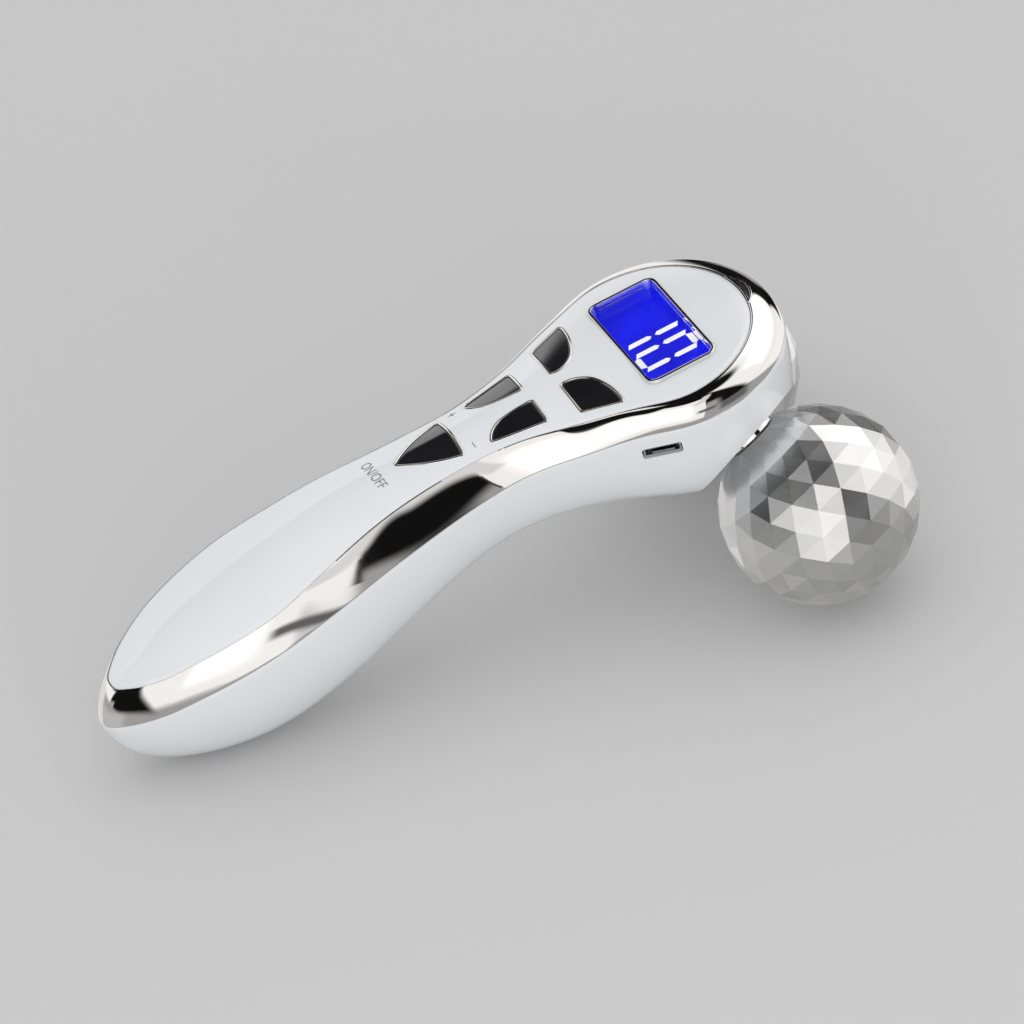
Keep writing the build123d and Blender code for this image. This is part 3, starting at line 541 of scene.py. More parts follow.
# %% [markdown]
# Now the shell is hollowed. Behind each scoop the wall has to stay, so a ball that is larger by the wall is first
# taken out of the inner body. Then come the scoops, the holes for the collars' spigots, and the charging slot.

# %% Cut the lower shell
spigot_radius, slot_depth = 3.2, 6
pattern_case = twin(lower_case)
inner_case = closed_body("inner_case", shell_wall, 2.0)
scoops = {side: ball(f"scoop_{side}", scoop_radius, on_axle(side)) for side in axles}
for side in axles:
    carve(inner_case, ball("scoop_back", scoop_radius + scoop_wall, on_axle(side)))
carve(lower_case, inner_case)
spigot_outline = round_outline(spigot_radius)
for side in axles:
    carve(lower_case, scoops[side], keep=True)
    carve(lower_case, prism("axle_hole", spigot_outline, scoop_radius - 4, scoop_radius + 6, on_axle(side)))
slot_outline = rounded_box(port_width + 2 * slot_margin, port_height + 2 * slot_margin, slot_corner)
carve(lower_case, prism("slot", slot_outline, -slot_depth, slot_depth, port_matrix))
polish(lower_case, pattern_case, *scoops.values())
for spare in (pattern_case, *scoops.values()):
    bpy.data.objects.remove(spare)
print("lower case:", len(lower_case.data.polygons), "faces")

# %% [markdown]
# The cover is a thin skin that crowns across the handle. Its sections run from the centre line out to the seam,
# where the skin rolls over its edge, and back along the underside. Solidify could give it the wall, but not the
# rolled edge that catches a line of light at the seam.

# %% The cover's skin
cover_roll = 0.35


def skin_points(depth, outer, count):
    """Points of the skin, lowered by depth, from the centre line out to the outer radius."""
    radii = [outer * t for t in np.linspace(0, 1, count)]
    return [(r, roof(pages.foot + r * pages.run[:, 0], r * pages.run[:, 1]) - depth) for r in radii]


cover_edge = pages.seam - seam_gap
cover_pairs = skin_points(0, cover_edge - cover_roll, 26)
edge_z = roof(pages.foot + cover_edge * pages.run[:, 0], cover_edge * pages.run[:, 1])
for swing in np.radians(np.linspace(18, 90, 5)):
    cover_pairs.append((cover_edge - cover_roll * (1 - sin(swing)), edge_z - cover_roll * (1 - cos(swing))))
cover_pairs += [(cover_edge, edge_z - 2 * cover_roll), (cover_edge, edge_z - cover_wall)]
cover_pairs += skin_points(cover_wall, cover_edge - cover_roll, 8)[::-1]
cover_skin = sweep("cover_skin", *stacked(*cover_pairs), closed=False)
print("cover skin:", len(cover_skin.data.polygons), "faces before its cuts")

# %% [markdown]
# Every opening follows the trim that sits in it, and the frame holds that trim. So the flat hull of the trim's own
# points gives the outline. It is walked in even steps, and a soft average along it eases the corners, as the
# cutter does that makes the mould.

# %% Outlines of the openings
def hull_outline(points, grow=0.0):
    """The convex outline of flat points, grown outwards."""
    points = sorted({(round(float(x), 4), round(float(y), 4)) for x, y in points})
    hull = []
    for row in (points, points[::-1]):
        start = len(hull)
        for p in row:
            while len(hull) - start > 1:
                a, b = hull[-2], hull[-1]
                if (b[0] - a[0]) * (p[1] - a[1]) - (b[1] - a[1]) * (p[0] - a[0]) > 1e-6:
                    break
                hull.pop()
            hull.append(p)
        hull.pop()
    hull = np.array(hull)
    middle = hull.mean(axis=0)
    away = hull - middle
    return middle + away * (1 + grow / np.hypot(*away.T).mean())


def loop_of(points, corner=0.45, count=144):
    """An even closed loop round flat points with eased corners, and the outward direction at each place."""
    hull = hull_outline(points)
    steps = np.hypot(*np.diff(np.vstack((hull, hull[:1])), axis=0).T)
    share = np.append(0, np.cumsum(steps)) / steps.sum()
    even = np.linspace(0, 1, count, endpoint=False)
    loop = np.stack([np.interp(even, share, np.append(hull[:, k], hull[0, k])) for k in (0, 1)], axis=1)
    offset = np.minimum(np.arange(count), count - np.arange(count)) * steps.sum() / count
    weights = np.exp(-0.5 * (offset / corner) ** 2)
    blend = np.fft.fft(weights / weights.sum())
    loop = np.real(np.fft.ifft(np.fft.fft(loop, axis=0) * blend[:, None], axis=0))
    along = np.roll(loop, -1, axis=0) - np.roll(loop, 1, axis=0)
    out = np.stack((along[:, 1], -along[:, 0]), axis=1) / np.hypot(*along.T)[:, None]
    if np.sum(out * (loop - loop.mean(axis=0))) < 0:
        out = -out
    return loop, out


# %% [markdown]
# The cover gets six openings, for the five trims and the bezel, each wider by a small gap than the piece that
# drops into it. The uncut skin is kept as a pattern for the normals, as it was for the shell.

# %% Openings in the cover
key_names = ["power", "minus", "plus", "time", "mode"]
fit_gap, cut_low, cut_high = 0.03, -14, 6
pattern_cover = twin(cover_skin)
for node in [f"{key}_trim" for key in key_names] + ["display_bezel"]:
    loop, out = loop_of(on_deck(node)[:, :2])
    carve(cover_skin, prism("opening", loop + fit_gap * out, cut_low, cut_high, deck_matrix))
polish(cover_skin, pattern_cover)
bpy.data.objects.remove(pattern_cover)
print("cover skin:", len(cover_skin.data.polygons), "faces")

# %% [markdown]
# At the tip of the head the band makes room for a small lamp. Its pocket goes down no further than the lamp's rim
# does, so that the band keeps its wall below.

# %% Pocket for the tip lamp in the band
pattern_ring = twin(chrome_ring)
lamp_points = on_deck("lamp_rim")
pocket_outline = hull_outline(lamp_points[:, :2], 0.05)
pocket_floor = float(lamp_points[:, 2].min()) - fit_gap
carve(chrome_ring, prism("pocket", pocket_outline, pocket_floor, cut_high, deck_matrix))
polish(chrome_ring, pattern_ring)
bpy.data.objects.remove(pattern_ring)
print("chrome ring:", len(chrome_ring.data.polygons), "faces with its pocket")

# %% [markdown]
# Shader effects and generated shapes are both node trees. They could be drawn by hand in the editor, but a script
# says what is in them. This small class adds nodes to any tree in one line each: links and values go in by order
# or by name.

# %% A bench that adds nodes
class Bench:
    """Adds nodes to a node tree."""

    def __init__(self, tree):
        self.tree = tree

    def add(self, kind, *links, settings=(), **named):
        """A node with these links or values in its first inputs, and in its named inputs."""
        node = self.tree.nodes.new(kind)
        for key, value in dict(settings).items():
            setattr(node, key, value)
        usable = [s for s in node.inputs if s.enabled and not s.is_unavailable]
        pairs = list(zip(usable, links))
        pairs += [(next(s for s in usable if s.name == key.replace("_", " ")), v) for key, v in named.items()]
        for socket, value in pairs:
            for one in value if isinstance(value, list) else [value]:
                if isinstance(one, bpy.types.NodeSocket):
                    self.tree.links.new(one, socket)
                elif one is not None:
                    socket.default_value = one
        return next(s for s in node.outputs if s.enabled and not s.is_unavailable)

    def math(self, operation, *values):
        return self.add("ShaderNodeMath", *values, settings={"operation": operation})

    plus = partialmethod(math, "ADD")
    minus = partialmethod(math, "SUBTRACT")
    times = partialmethod(math, "MULTIPLY")
    over = partialmethod(math, "DIVIDE")

    def blend(self, share, *colours):
        """A colour between two colours, each a link or its red, green and blue."""
        colours = [(*colour, 1) if isinstance(colour, tuple) else colour for colour in colours]
        return self.add("ShaderNodeMix", share, *colours, settings={"data_type": "RGBA"})


# %% [markdown]
# A recipe is a tree of its own with named inputs, as a node group is in the editor. Materials and modifiers use
# it with their own values. The same nodes could be copied into each of them, but then a change would have to be
# made in every copy.

# %% A recipe is a tree with named inputs
SOCKETS = {
    int: "NodeSocketInt", float: "NodeSocketFloat", tuple: "NodeSocketVector", str: "NodeSocketGeometry",
    type(None): "NodeSocketMaterial",
}


class Recipe(Bench):
    """A node tree with named inputs and outputs."""

    def __init__(self, name, kind, outputs, **inputs):
        super().__init__(bpy.data.node_groups.new(name, kind))
        self.ids = {}
        for label, socket_type in outputs.items():
            self.tree.interface.new_socket(label, in_out="OUTPUT", socket_type=socket_type)
        for label, value in inputs.items():
            socket = self.tree.interface.new_socket(label, in_out="INPUT", socket_type=SOCKETS[type(value)])
            if isinstance(value, (int, float, tuple)):
                socket.default_value = value
            self.ids[label] = socket.identifier
        self.start = self.tree.nodes.new("NodeGroupInput")
        self.end = self.tree.nodes.new("NodeGroupOutput")

    def __getitem__(self, label):
        return self.start.outputs[label]

    def give(self, **outputs):
        """Joins these links to the recipe's outputs."""
        for label, link in outputs.items():
            self.tree.links.new(link, self.end.inputs[label])

    def close(self, geometry, material):
        """Ends a shape's recipe in Realize Instances and Set Material."""
        real = self.add("GeometryNodeRealizeInstances", geometry)
        self.give(Geometry=self.add("GeometryNodeSetMaterial", real, Material=material))


# %% [markdown]
# Nothing that is handled stays perfectly even. Fingers leave soft patches where gloss is a little duller, a
# moulding has a faint orange-peel waviness, and machined metal has fine lines along one direction. Each of these
# is one shader group, used by several finishes with their own values.

# %% Shader group: touch marks
FLOAT_OUT, VECTOR_OUT = "NodeSocketFloat", "NodeSocketVector"
touch_marks = Recipe(
    "touch_marks", "ShaderNodeTree", {"Roughness": FLOAT_OUT},
    Place=(0.0, 0.0, 0.0), Scale=60.0, Clean=0.05, Smudged=0.16,
)
patches = touch_marks.add(
    "ShaderNodeTexNoise", Vector=touch_marks["Place"], Scale=touch_marks["Scale"], Detail=3.0, Roughness=0.55,
)
fine_scale = touch_marks.times(touch_marks["Scale"], 14.0)
grease = touch_marks.add("ShaderNodeTexNoise", Vector=touch_marks["Place"], Scale=fine_scale, Detail=2.0)
touched = touch_marks.add("ShaderNodeMapRange", patches, 0.48, 0.72, 0.0, 1.0)
share = touch_marks.times(touched, touch_marks.plus(0.5, touch_marks.times(grease, 0.8)))
touch_marks.give(Roughness=touch_marks.add(
    "ShaderNodeMapRange", share, 0.0, 1.0, touch_marks["Clean"], touch_marks["Smudged"],
))
print("touch marks:", len(touch_marks.tree.nodes), "nodes")

# %% [markdown]
# The waviness of a moulding is a bump so shallow that only a reflection shows it. The lines of a tool are noise
# that is drawn out along one direction, so that each of its grains becomes a long thin line. Real dents and
# scratches would take far too many faces.

# %% Shader groups: moulded skin and drawn lines
moulded_skin = Recipe(
    "moulded_skin", "ShaderNodeTree", {"Normal": VECTOR_OUT}, Place=(0.0, 0.0, 0.0), Scale=500.0, Depth=0.02,
)
peel = moulded_skin.add(
    "ShaderNodeTexNoise", Vector=moulded_skin["Place"], Scale=moulded_skin["Scale"], Detail=1.0, Roughness=0.4,
)
moulded_skin.give(Normal=moulded_skin.add(
    "ShaderNodeBump", Strength=moulded_skin["Depth"], Distance=0.0001, Height=peel,
))

drawn_lines = Recipe(
    "drawn_lines", "ShaderNodeTree", {"Lines": FLOAT_OUT, "Roughness": FLOAT_OUT},
    Place=(0.0, 0.0, 0.0), Stretch=(1.0, 1.0, 0.03), Scale=4000.0, Low=0.25, High=0.42,
)
along_lines = drawn_lines.add(
    "ShaderNodeVectorMath", drawn_lines["Place"], drawn_lines["Stretch"], settings={"operation": "MULTIPLY"},
)
lines = drawn_lines.add("ShaderNodeTexNoise", Vector=along_lines, Scale=drawn_lines["Scale"], Detail=2.0)
line_roughness = drawn_lines.add("ShaderNodeMapRange", lines, 0.3, 0.7, drawn_lines["Low"], drawn_lines["High"])
drawn_lines.give(Lines=lines, Roughness=line_roughness)
print("shader groups:", [group.name for group in bpy.data.node_groups])

# %% [markdown]
# A finish is a material with a Principled shader. Most finishes need the same few things: a base colour that
# drifts a little, a roughness from the touch marks, and perhaps a moulding's waviness or the lines of a tool.
# Each of these is one method, so that a finish further on is a short list of its own values.

# %% A helper for finishes
class Finish(Bench):
    """A material with a Principled shader, and a bench to add nodes to it."""

    def __init__(self, name, **values):
        self.material = bpy.data.materials.new(name)
        self.material.use_nodes = True
        super().__init__(self.material.node_tree)
        self.shader = self.tree.nodes["Principled BSDF"]
        for label, value in values.items():
            self.shader.inputs[label.replace("_", " ")].default_value = value
        coordinates = self.tree.nodes.new("ShaderNodeTexCoord")
        self.place = coordinates.outputs["Object"]

    def give(self, socket, link):
        self.tree.links.new(link, self.shader.inputs[socket])

    def noise(self, scale, low=0.35, high=0.65):
        """A soft mask from 0 to 1."""
        cloud = self.add("ShaderNodeTexNoise", Vector=self.place, Scale=scale, Detail=2.0)
        return self.add("ShaderNodeMapRange", cloud, low, high, 0.0, 1.0)

    def use(self, recipe, **values):
        """Places a shader group with these values."""
        return self.add("ShaderNodeGroup", self.place, settings={"node_tree": recipe.tree}, **values)

    def tint(self, scale, *colours):
        """A base colour that drifts between two colours."""
        self.give("Base Color", self.blend(self.noise(scale), *colours))

    def touch(self, scale, clean, smudged):
        """A roughness that goes up where the piece is touched."""
        self.give("Roughness", self.use(touch_marks, Scale=scale, Clean=clean, Smudged=smudged))

    def mould(self, scale, depth):
        """The faint waviness of a moulding."""
        self.give("Normal", self.use(moulded_skin, Scale=scale, Depth=depth))

    def draw(self, *colours, **values):
        """Base colour and roughness in the fine lines of a tool."""
        tool_lines = self.use(drawn_lines, **values)
        self.give("Base Color", self.blend(tool_lines, *colours))
        self.give("Roughness", tool_lines.node.outputs["Roughness"])


# %% [markdown]
# The case is injection-moulded gloss plastic in a cool white, and the band, the trims and the bezel are plastic
# with a bright plated skin. The keys are the same plastic in black. All of them are nearly mirror smooth, so
# their character comes from clean reflections with a little haze where they are touched.

# %% Finishes of the case
white = Finish("gloss_white", IOR=1.5, Coat_Weight=0.25, Coat_Roughness=0.03)
white.tint(25.0, (0.77, 0.785, 0.80), (0.80, 0.812, 0.825))
white.touch(45.0, 0.07, 0.16)
white.mould(420.0, 0.012)

chrome = Finish("bright_chrome", Metallic=1.0)
chrome.tint(30.0, (0.90, 0.885, 0.87), (0.93, 0.92, 0.905))
chrome.touch(55.0, 0.025, 0.07)
chrome.mould(300.0, 0.006)

black = Finish("gloss_black", IOR=1.6, Coat_Weight=1.0, Coat_IOR=1.9, Coat_Roughness=0.04)
black.tint(90.0, (0.009, 0.009, 0.011), (0.016, 0.016, 0.018))
black.touch(160.0, 0.07, 0.2)
black.mould(500.0, 0.015)

smoked = Finish("smoked_lens", IOR=1.55)
smoked.tint(220.0, (0.02, 0.02, 0.024), (0.035, 0.034, 0.036))
smoked.touch(200.0, 0.05, 0.14)

ink = Finish("grey_ink")
ink.tint(900.0, (0.20, 0.20, 0.21), (0.26, 0.26, 0.27))
ink.touch(400.0, 0.4, 0.6)
print("finishes of the case:", [finish.material.name for finish in (white, chrome, black, smoked, ink)])

# %% [markdown]
# The facets of the balls are plated too, but over small flats that cool and polish unevenly. The ball's recipe
# further on stores a random tone for each facet, and this finish reads it: a duller facet is a little darker and
# a little rougher.

# %% Finish of the facets
facets = Finish("facet_chrome", Metallic=1.0)
tone = facets.add("ShaderNodeAttribute", settings={"attribute_name": "tone", "attribute_type": "GEOMETRY"})
tone = tone.node.outputs["Fac"]
facets.give("Base Color", facets.blend(tone, (0.74, 0.745, 0.75), (0.93, 0.93, 0.93)))
haze = facets.times(facets.noise(120.0), 0.05)
facets.give("Roughness", facets.plus(facets.times(tone, -0.08), facets.plus(0.30, haze)))
print("facets:", len(facets.tree.nodes), "nodes")

# %% [markdown]
# The display is a backlit blue panel behind a clear window. The panel glows by itself, a little unevenly, with
# the faint rows of its cells. The lit segments are plain white. The window is a clear solid plate with a weak
# reflection, so that the reading stays in sight from most sides.

# %% Finishes of the display
panel = Finish("blue_panel", Base_Color=(0.0, 0.0, 0.05, 1), Roughness=0.35, Emission_Strength=1.0)
cells = panel.add("ShaderNodeTexWave", Vector=panel.place, Scale=900.0, Distortion=0.0)
glow = panel.add("ShaderNodeTexNoise", Vector=panel.place, Scale=70.0, Detail=1.0)
glow = panel.add("ShaderNodeMapRange", glow, 0.3, 0.7, 0.0, 0.85)
lit = panel.plus(glow, panel.times(cells, 0.08))
panel.give("Emission Color", panel.blend(lit, (0.0, 0.0, 0.42), (0.002, 0.008, 0.93)))

segment = Finish("lit_segment", Base_Color=(0.2, 0.2, 0.2, 1), Roughness=0.4, Emission_Strength=0.9)
segment.give("Emission Color", segment.blend(segment.noise(300.0), (0.88, 0.86, 0.84), (1, 1, 1)))

window = Finish("clear_window", Transmission_Weight=1.0, IOR=1.15, Base_Color=(0.97, 0.98, 1.0, 1))
window.touch(90.0, 0.0, 0.05)
print("finishes of the display:", [finish.material.name for finish in (panel, segment, window)])

# %% [markdown]
# Inside the case there are a board, a cell, an axle bracket and small metal parts. They show only when the part
# is opened, but each still has its own finish.

# %% Finishes of the inner pieces
board = Finish("green_board", Coat_Weight=0.3)
board.tint(700.0, (0.015, 0.12, 0.045), (0.03, 0.22, 0.09))
board.touch(300.0, 0.3, 0.45)

moulded = Finish("black_moulding")
moulded.tint(400.0, (0.022, 0.022, 0.022), (0.042, 0.042, 0.043))
moulded.touch(200.0, 0.45, 0.6)
moulded.mould(2500.0, 0.3)

steel = Finish("bright_steel", Metallic=1.0)
steel.draw((0.48, 0.48, 0.49), (0.66, 0.66, 0.67), Stretch=(1.0, 1.0, 0.05))

brass = Finish("turned_brass", Metallic=1.0)
brass.draw((0.62, 0.45, 0.19), (0.78, 0.60, 0.29), Stretch=(1.0, 1.0, 1.0), Low=0.2, High=0.34)

port_steel = Finish("stamped_steel", Metallic=1.0)
port_steel.draw((0.60, 0.60, 0.62), (0.80, 0.80, 0.81), Stretch=(0.05, 1.0, 1.0), Low=0.14, High=0.26)

wrap = Finish("cell_wrap", Coat_Weight=0.2)
wrap.tint(60.0, (0.07, 0.20, 0.42), (0.12, 0.30, 0.55))
wrap.touch(80.0, 0.22, 0.38)

finish_of_slot = {
    "white_case": white, "chrome": chrome, "key_black": black, "window": window, "panel": panel, "lens": smoked,
    "board": board, "chip": moulded, "steel": steel, "brass": brass, "cell": wrap, "port": port_steel,
}
print("finishes:", len(bpy.data.materials), "materials")

# %% [markdown]
# Every piece that this script makes stands for one CAD node or more. It rides on the body of that node, and it
# takes the node's material slot, so that the two models always agree. A small helper says all of this at once.

# %% Seating a piece in the frame
bodies = frame["record"]["behaviour"]["bodies"]
body_of_node = {node: body for body, members in bodies.items() for node in members}


def seat(piece, *nodes, finish=None):
    """Puts a piece in the place of these CAD nodes."""
    piece.data.materials.clear()
    piece.data.materials.append((finish or finish_of_slot[slot_of_node[nodes[0]]]).material)
    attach(piece, body_of_node[nodes[0]])
    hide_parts(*nodes)


seat(cover_skin, "top_cover")
seat(chrome_ring, "chrome_band")
seat(lower_case, "lower_shell")
print("seated:", cover_skin.name, chrome_ring.name, lower_case.name)

# %% [markdown]
# The balls are the main feature: a sphere of flat triangles. Ten rings of twenty corners, every other ring turned
# by half a step, two sparser rings, and a pole. An icosphere would be quicker, but its facets don't run in rings
# round the axle. The shape follows a rule, so Geometry Nodes make it, and first they put the corners in place.

# %% Corners of the faceted ball
ball_recipe = Recipe(
    "faceted_ball", "GeometryNodeTree", {"Geometry": "NodeSocketGeometry"},
    Radius=0.02, Around=20, Rings=5, Step=pi / 14, Bore_radius=0.004, Bore_low=-0.006,
    Chamber_radius=0.005, Chamber_low=-0.0105, Seed=7, Material=None,
)
around, rings = ball_recipe["Around"], ball_recipe["Rings"]


def ring_position(level, turn):
    """Place on the ball at a level, counted in steps of height, and an angle round the axle."""
    height = ball_recipe.times(level, ball_recipe["Step"])
    flat = ball_recipe.times(ball_recipe["Radius"], ball_recipe.math("COSINE", height))
    x = ball_recipe.times(flat, ball_recipe.math("COSINE", turn))
    y = ball_recipe.times(flat, ball_recipe.math("SINE", turn))
    z = ball_recipe.times(ball_recipe["Radius"], ball_recipe.math("SINE", height))
    return ball_recipe.add("ShaderNodeCombineXYZ", x, y, z)


def dense_rings():
    """The even rings of corners round the girth."""
    index = ball_recipe.add("GeometryNodeInputIndex")
    ring = ball_recipe.math("FLOOR", ball_recipe.over(index, around))
    level = ball_recipe.plus(ball_recipe.minus(ring, rings), 0.5)
    odd = ball_recipe.times(ball_recipe.math("MODULO", ball_recipe.plus(ring, 1.0), 2.0), 0.5)
    turn = ball_recipe.over(ball_recipe.times(ball_recipe.plus(index, odd), 2 * pi), around)
    total = ball_recipe.times(ball_recipe.times(around, rings), 2.0)
    return ball_recipe.add("GeometryNodePoints", Count=total, Position=ring_position(level, turn))


def sparse_ring(sign, shift):
    """A ring with half as many corners, next to a pole."""
    index = ball_recipe.add("GeometryNodeInputIndex")
    half = ball_recipe.over(around, 2.0)
    level = ball_recipe.times(ball_recipe.plus(rings, 0.5), sign)
    turn = ball_recipe.over(ball_recipe.times(ball_recipe.plus(index, shift), 2 * pi), half)
    return ball_recipe.add("GeometryNodePoints", Count=half, Position=ring_position(level, turn))


pole = ball_recipe.add("GeometryNodePoints", Count=1, Position=ring_position(-7.0, 0.0))
corners = [dense_rings(), sparse_ring(-1.0, 0.0), sparse_ring(1.0, 0.5), pole]
print("corners of the ball:", len(ball_recipe.tree.nodes), "nodes")

# %% [markdown]
# The convex hull of the corners is the faceted ball. A Boolean bores it for the bush, and opens a chamber for the
# clip below. Each facet also gets a small random tone, which its finish reads.

# %% From corners to a bored ball
def bore(solid, radius, low, height):
    """The solid without a cylinder along the axle, from low upwards."""
    middle = ball_recipe.plus(low, ball_recipe.over(height, 2.0))
    rod = ball_recipe.add("GeometryNodeMeshCylinder", Vertices=96, Radius=radius, Depth=height)
    lift = ball_recipe.add("ShaderNodeCombineXYZ", 0.0, 0.0, middle)
    rod = ball_recipe.add("GeometryNodeTransform", rod, Translation=lift)
    exact = {"operation": "DIFFERENCE", "solver": "EXACT"}
    return ball_recipe.add("GeometryNodeMeshBoolean", solid, [rod], settings=exact)


bore_low, chamber_low = ball_recipe["Bore_low"], ball_recipe["Chamber_low"]
solid = ball_recipe.add("GeometryNodeConvexHull", ball_recipe.add("GeometryNodeJoinGeometry", corners[::-1]))
solid = bore(solid, ball_recipe["Bore_radius"], bore_low, ball_recipe.times(ball_recipe["Radius"], 2.0))
solid = bore(solid, ball_recipe["Chamber_radius"], chamber_low, ball_recipe.minus(bore_low, chamber_low))
solid = ball_recipe.add("GeometryNodeSetShadeSmooth", solid, Shade_Smooth=False)
tone = ball_recipe.add("FunctionNodeRandomValue", settings={"data_type": "FLOAT"}, Seed=ball_recipe["Seed"])
toned = ball_recipe.add(
    "GeometryNodeStoreNamedAttribute", solid, Name="tone", Value=tone,
    settings={"data_type": "FLOAT", "domain": "FACE"},
)
ball_recipe.close(toned, ball_recipe["Material"])
print("ball recipe:", len(ball_recipe.tree.nodes), "nodes")

# %% [markdown]
# A recipe becomes a piece in three steps: a modifier with its own values, the evaluated mesh, and no modifier
# left behind. The two balls differ only in their random tones. A very small bevel takes the knife edge off every
# facet, as plating does.

# %% The two balls
def grow(name, recipe, source=None, **values):
    """A plain mesh object made by a recipe with these values."""
    piece = add_object(name, source or bpy.data.meshes.new(name))
    modifier = piece.modifiers.new("recipe", "NODES")
    modifier.node_group = recipe.tree
    for label, value in values.items():
        modifier[recipe.ids[label]] = value
    piece.update_tag()
    bake(piece)
    return piece


def soften(piece, width, segments=2, angle=30):
    """Rounds a piece's edges over by this many millimetres."""
    bevel = piece.modifiers.new("bevel", "BEVEL")
    bevel.width, bevel.segments = width * MM, segments
    bevel.limit_method, bevel.angle_limit = "ANGLE", radians(angle)
    bevel.harden_normals = True
    piece.data.shade_smooth()
    bake(piece)


for side, seed in (("left", 3), ("right", 11)):
    faceted = grow(f"{side}_faceted_ball", ball_recipe, Seed=seed, Material=facets.material)
    faceted.data.transform(on_axle(side))
    soften(faceted, 0.05, segments=1, angle=5)
    seat(faceted, f"{side}_roller", finish=facets)
    print(faceted.name, len(faceted.data.polygons), "faces")

# %% [markdown]
# The lamp, the collars, the window and the charging port already have the right shapes in the CAD model, so there
# is no need to build them again. A copy of each is merged, because a CAD mesh comes as loose triangles, and its
# edges are rounded over.

# %% Rounded copies of the small pieces
def rounded_copy(node, width):
    """A merged copy of a CAD node, in the node's place, with its edges rounded over."""
    mesh = frame["nodes"][node].data.copy()
    work = bmesh.new()
    work.from_mesh(mesh)
    bmesh.ops.remove_doubles(work, verts=work.verts, dist=1e-6)
    bmesh.ops.dissolve_limit(work, angle_limit=radians(0.5), verts=work.verts, edges=work.edges)
    work.to_mesh(mesh)
    work.free()
    if "custom_normal" in mesh.attributes:
        mesh.attributes.remove(mesh.attributes["custom_normal"])
    mesh.name = f"{node}_rounded"
    piece = add_object(mesh.name, mesh)
    soften(piece, width)
    return piece


roundings = {
    "lamp_rim": 0.08, "lamp_lens": 0.06, "charging_port": 0.06, "left_collar": 0.25, "right_collar": 0.25,
    "display_window": 0.04,
}
for node, width in roundings.items():
    seat(rounded_copy(node, width), node)
print("rounded copies:", len(roundings))

# %% [markdown]
# Keys and trims lie in the crowned skin of the cover, and a highlight has to run over all three without a jump.
# Rounded copies of the CAD pieces would lie a little beside the finer skin, so both are laid on the skin's own
# formula. A trim is a rounded ridge that follows the outline of its opening.

# %% Trims on the crowned skin
trim_width, trim_proud, trim_roll, trim_depth = 0.5, 0.12, 0.2, 1.6


def ringed(name, rings, closed):
    """A mesh of quads between rings of points on the deck, joined last to first or not."""
    return new_piece(name, place(np.concatenate(rings)), quads(len(rings), len(rings[0]), rows_meet=closed))


def on_skin(flat, lift):
    """Flat points laid on the skin, lifted by this much."""
    return np.column_stack((flat, roof(flat[:, 0], flat[:, 1]) + lift))


for key in key_names:
    loop, out = loop_of(on_deck(f"{key}_trim")[:, :2])
    rings = []
    for swing in np.radians(np.linspace(0, 180, 13)):
        inward = trim_width / 2 * (1 - cos(swing))
        rings.append(on_skin(loop - out * inward, trim_proud - trim_roll * (1 - sin(swing))))
    rings += [on_skin(loop - out * trim_width, -trim_depth), on_skin(loop, -trim_depth)]
    trim = ringed(f"{key}_ridge", rings, closed=True)
    shade(trim, 60)
    seat(trim, f"{key}_trim")
    print(trim.name, len(trim.data.polygons), "faces")

# %% [markdown]
# A key is a stack of rings inside its outline, from its middle out to a rolled edge, each on the skin. Below the
# skin it needs its flange and its stem, so a rounded copy of the CAD key, with its top sunk out of sight, is
# joined to the cap.

# %% Keys on the crowned skin
key_recess, key_roll, key_swell, root_sink = 0.1, 0.16, 0.01, 0.4


def key_cap(key):
    """The cap of a key: the part of it that a finger touches."""
    points = on_deck(f"{key}_button")
    top = points[:, 2] > roof(points[:, 0], points[:, 1]) - key_recess - 0.05
    loop, out = loop_of(points[top][:, :2])
    middle = loop.mean(axis=0)
    rings = [on_skin(middle + (loop - out * key_roll - middle) * t, -key_recess) for t in np.linspace(0, 1, 12)]
    for swing in np.radians(np.linspace(15, 90, 6)):
        inward = key_roll * (1 - sin(swing)) - key_swell
        rings.append(on_skin(loop - out * inward, -key_recess - key_roll * (1 - cos(swing))))
    rings += [on_skin(loop + out * key_swell, -cover_wall), on_skin(middle + 0 * loop, -cover_wall)]
    cap = ringed(f"{key}_cap", rings, closed=False)
    shade(cap, 60)
    return cap


def key_root(key):
    """A key's flange and stem, from the CAD, with its top lowered inside the cap."""
    root = rounded_copy(f"{key}_button", 0.05)
    for vertex in root.data.vertices:
        x, y, z = to_deck(vertex.co)
        if z > roof(x, y) - 0.6:
            vertex.co -= Vector(deck_up) * root_sink * MM
    return root


for key in key_names:
    cap, root = key_cap(key), key_root(key)
    with bpy.context.temp_override(active_object=cap, selected_editable_objects=[cap, root]):
        bpy.ops.object.join()
    seat(cap, f"{key}_button")
    print(cap.name, len(cap.data.polygons), "faces")

# %% [markdown]
# The bezel is a plated frame in the cover. Seen from in front, its inner walls mirror the blue panel, and its rim
# draws a thin bright line. It is made of rings like a trim, but its rim is level, because the display is flat.

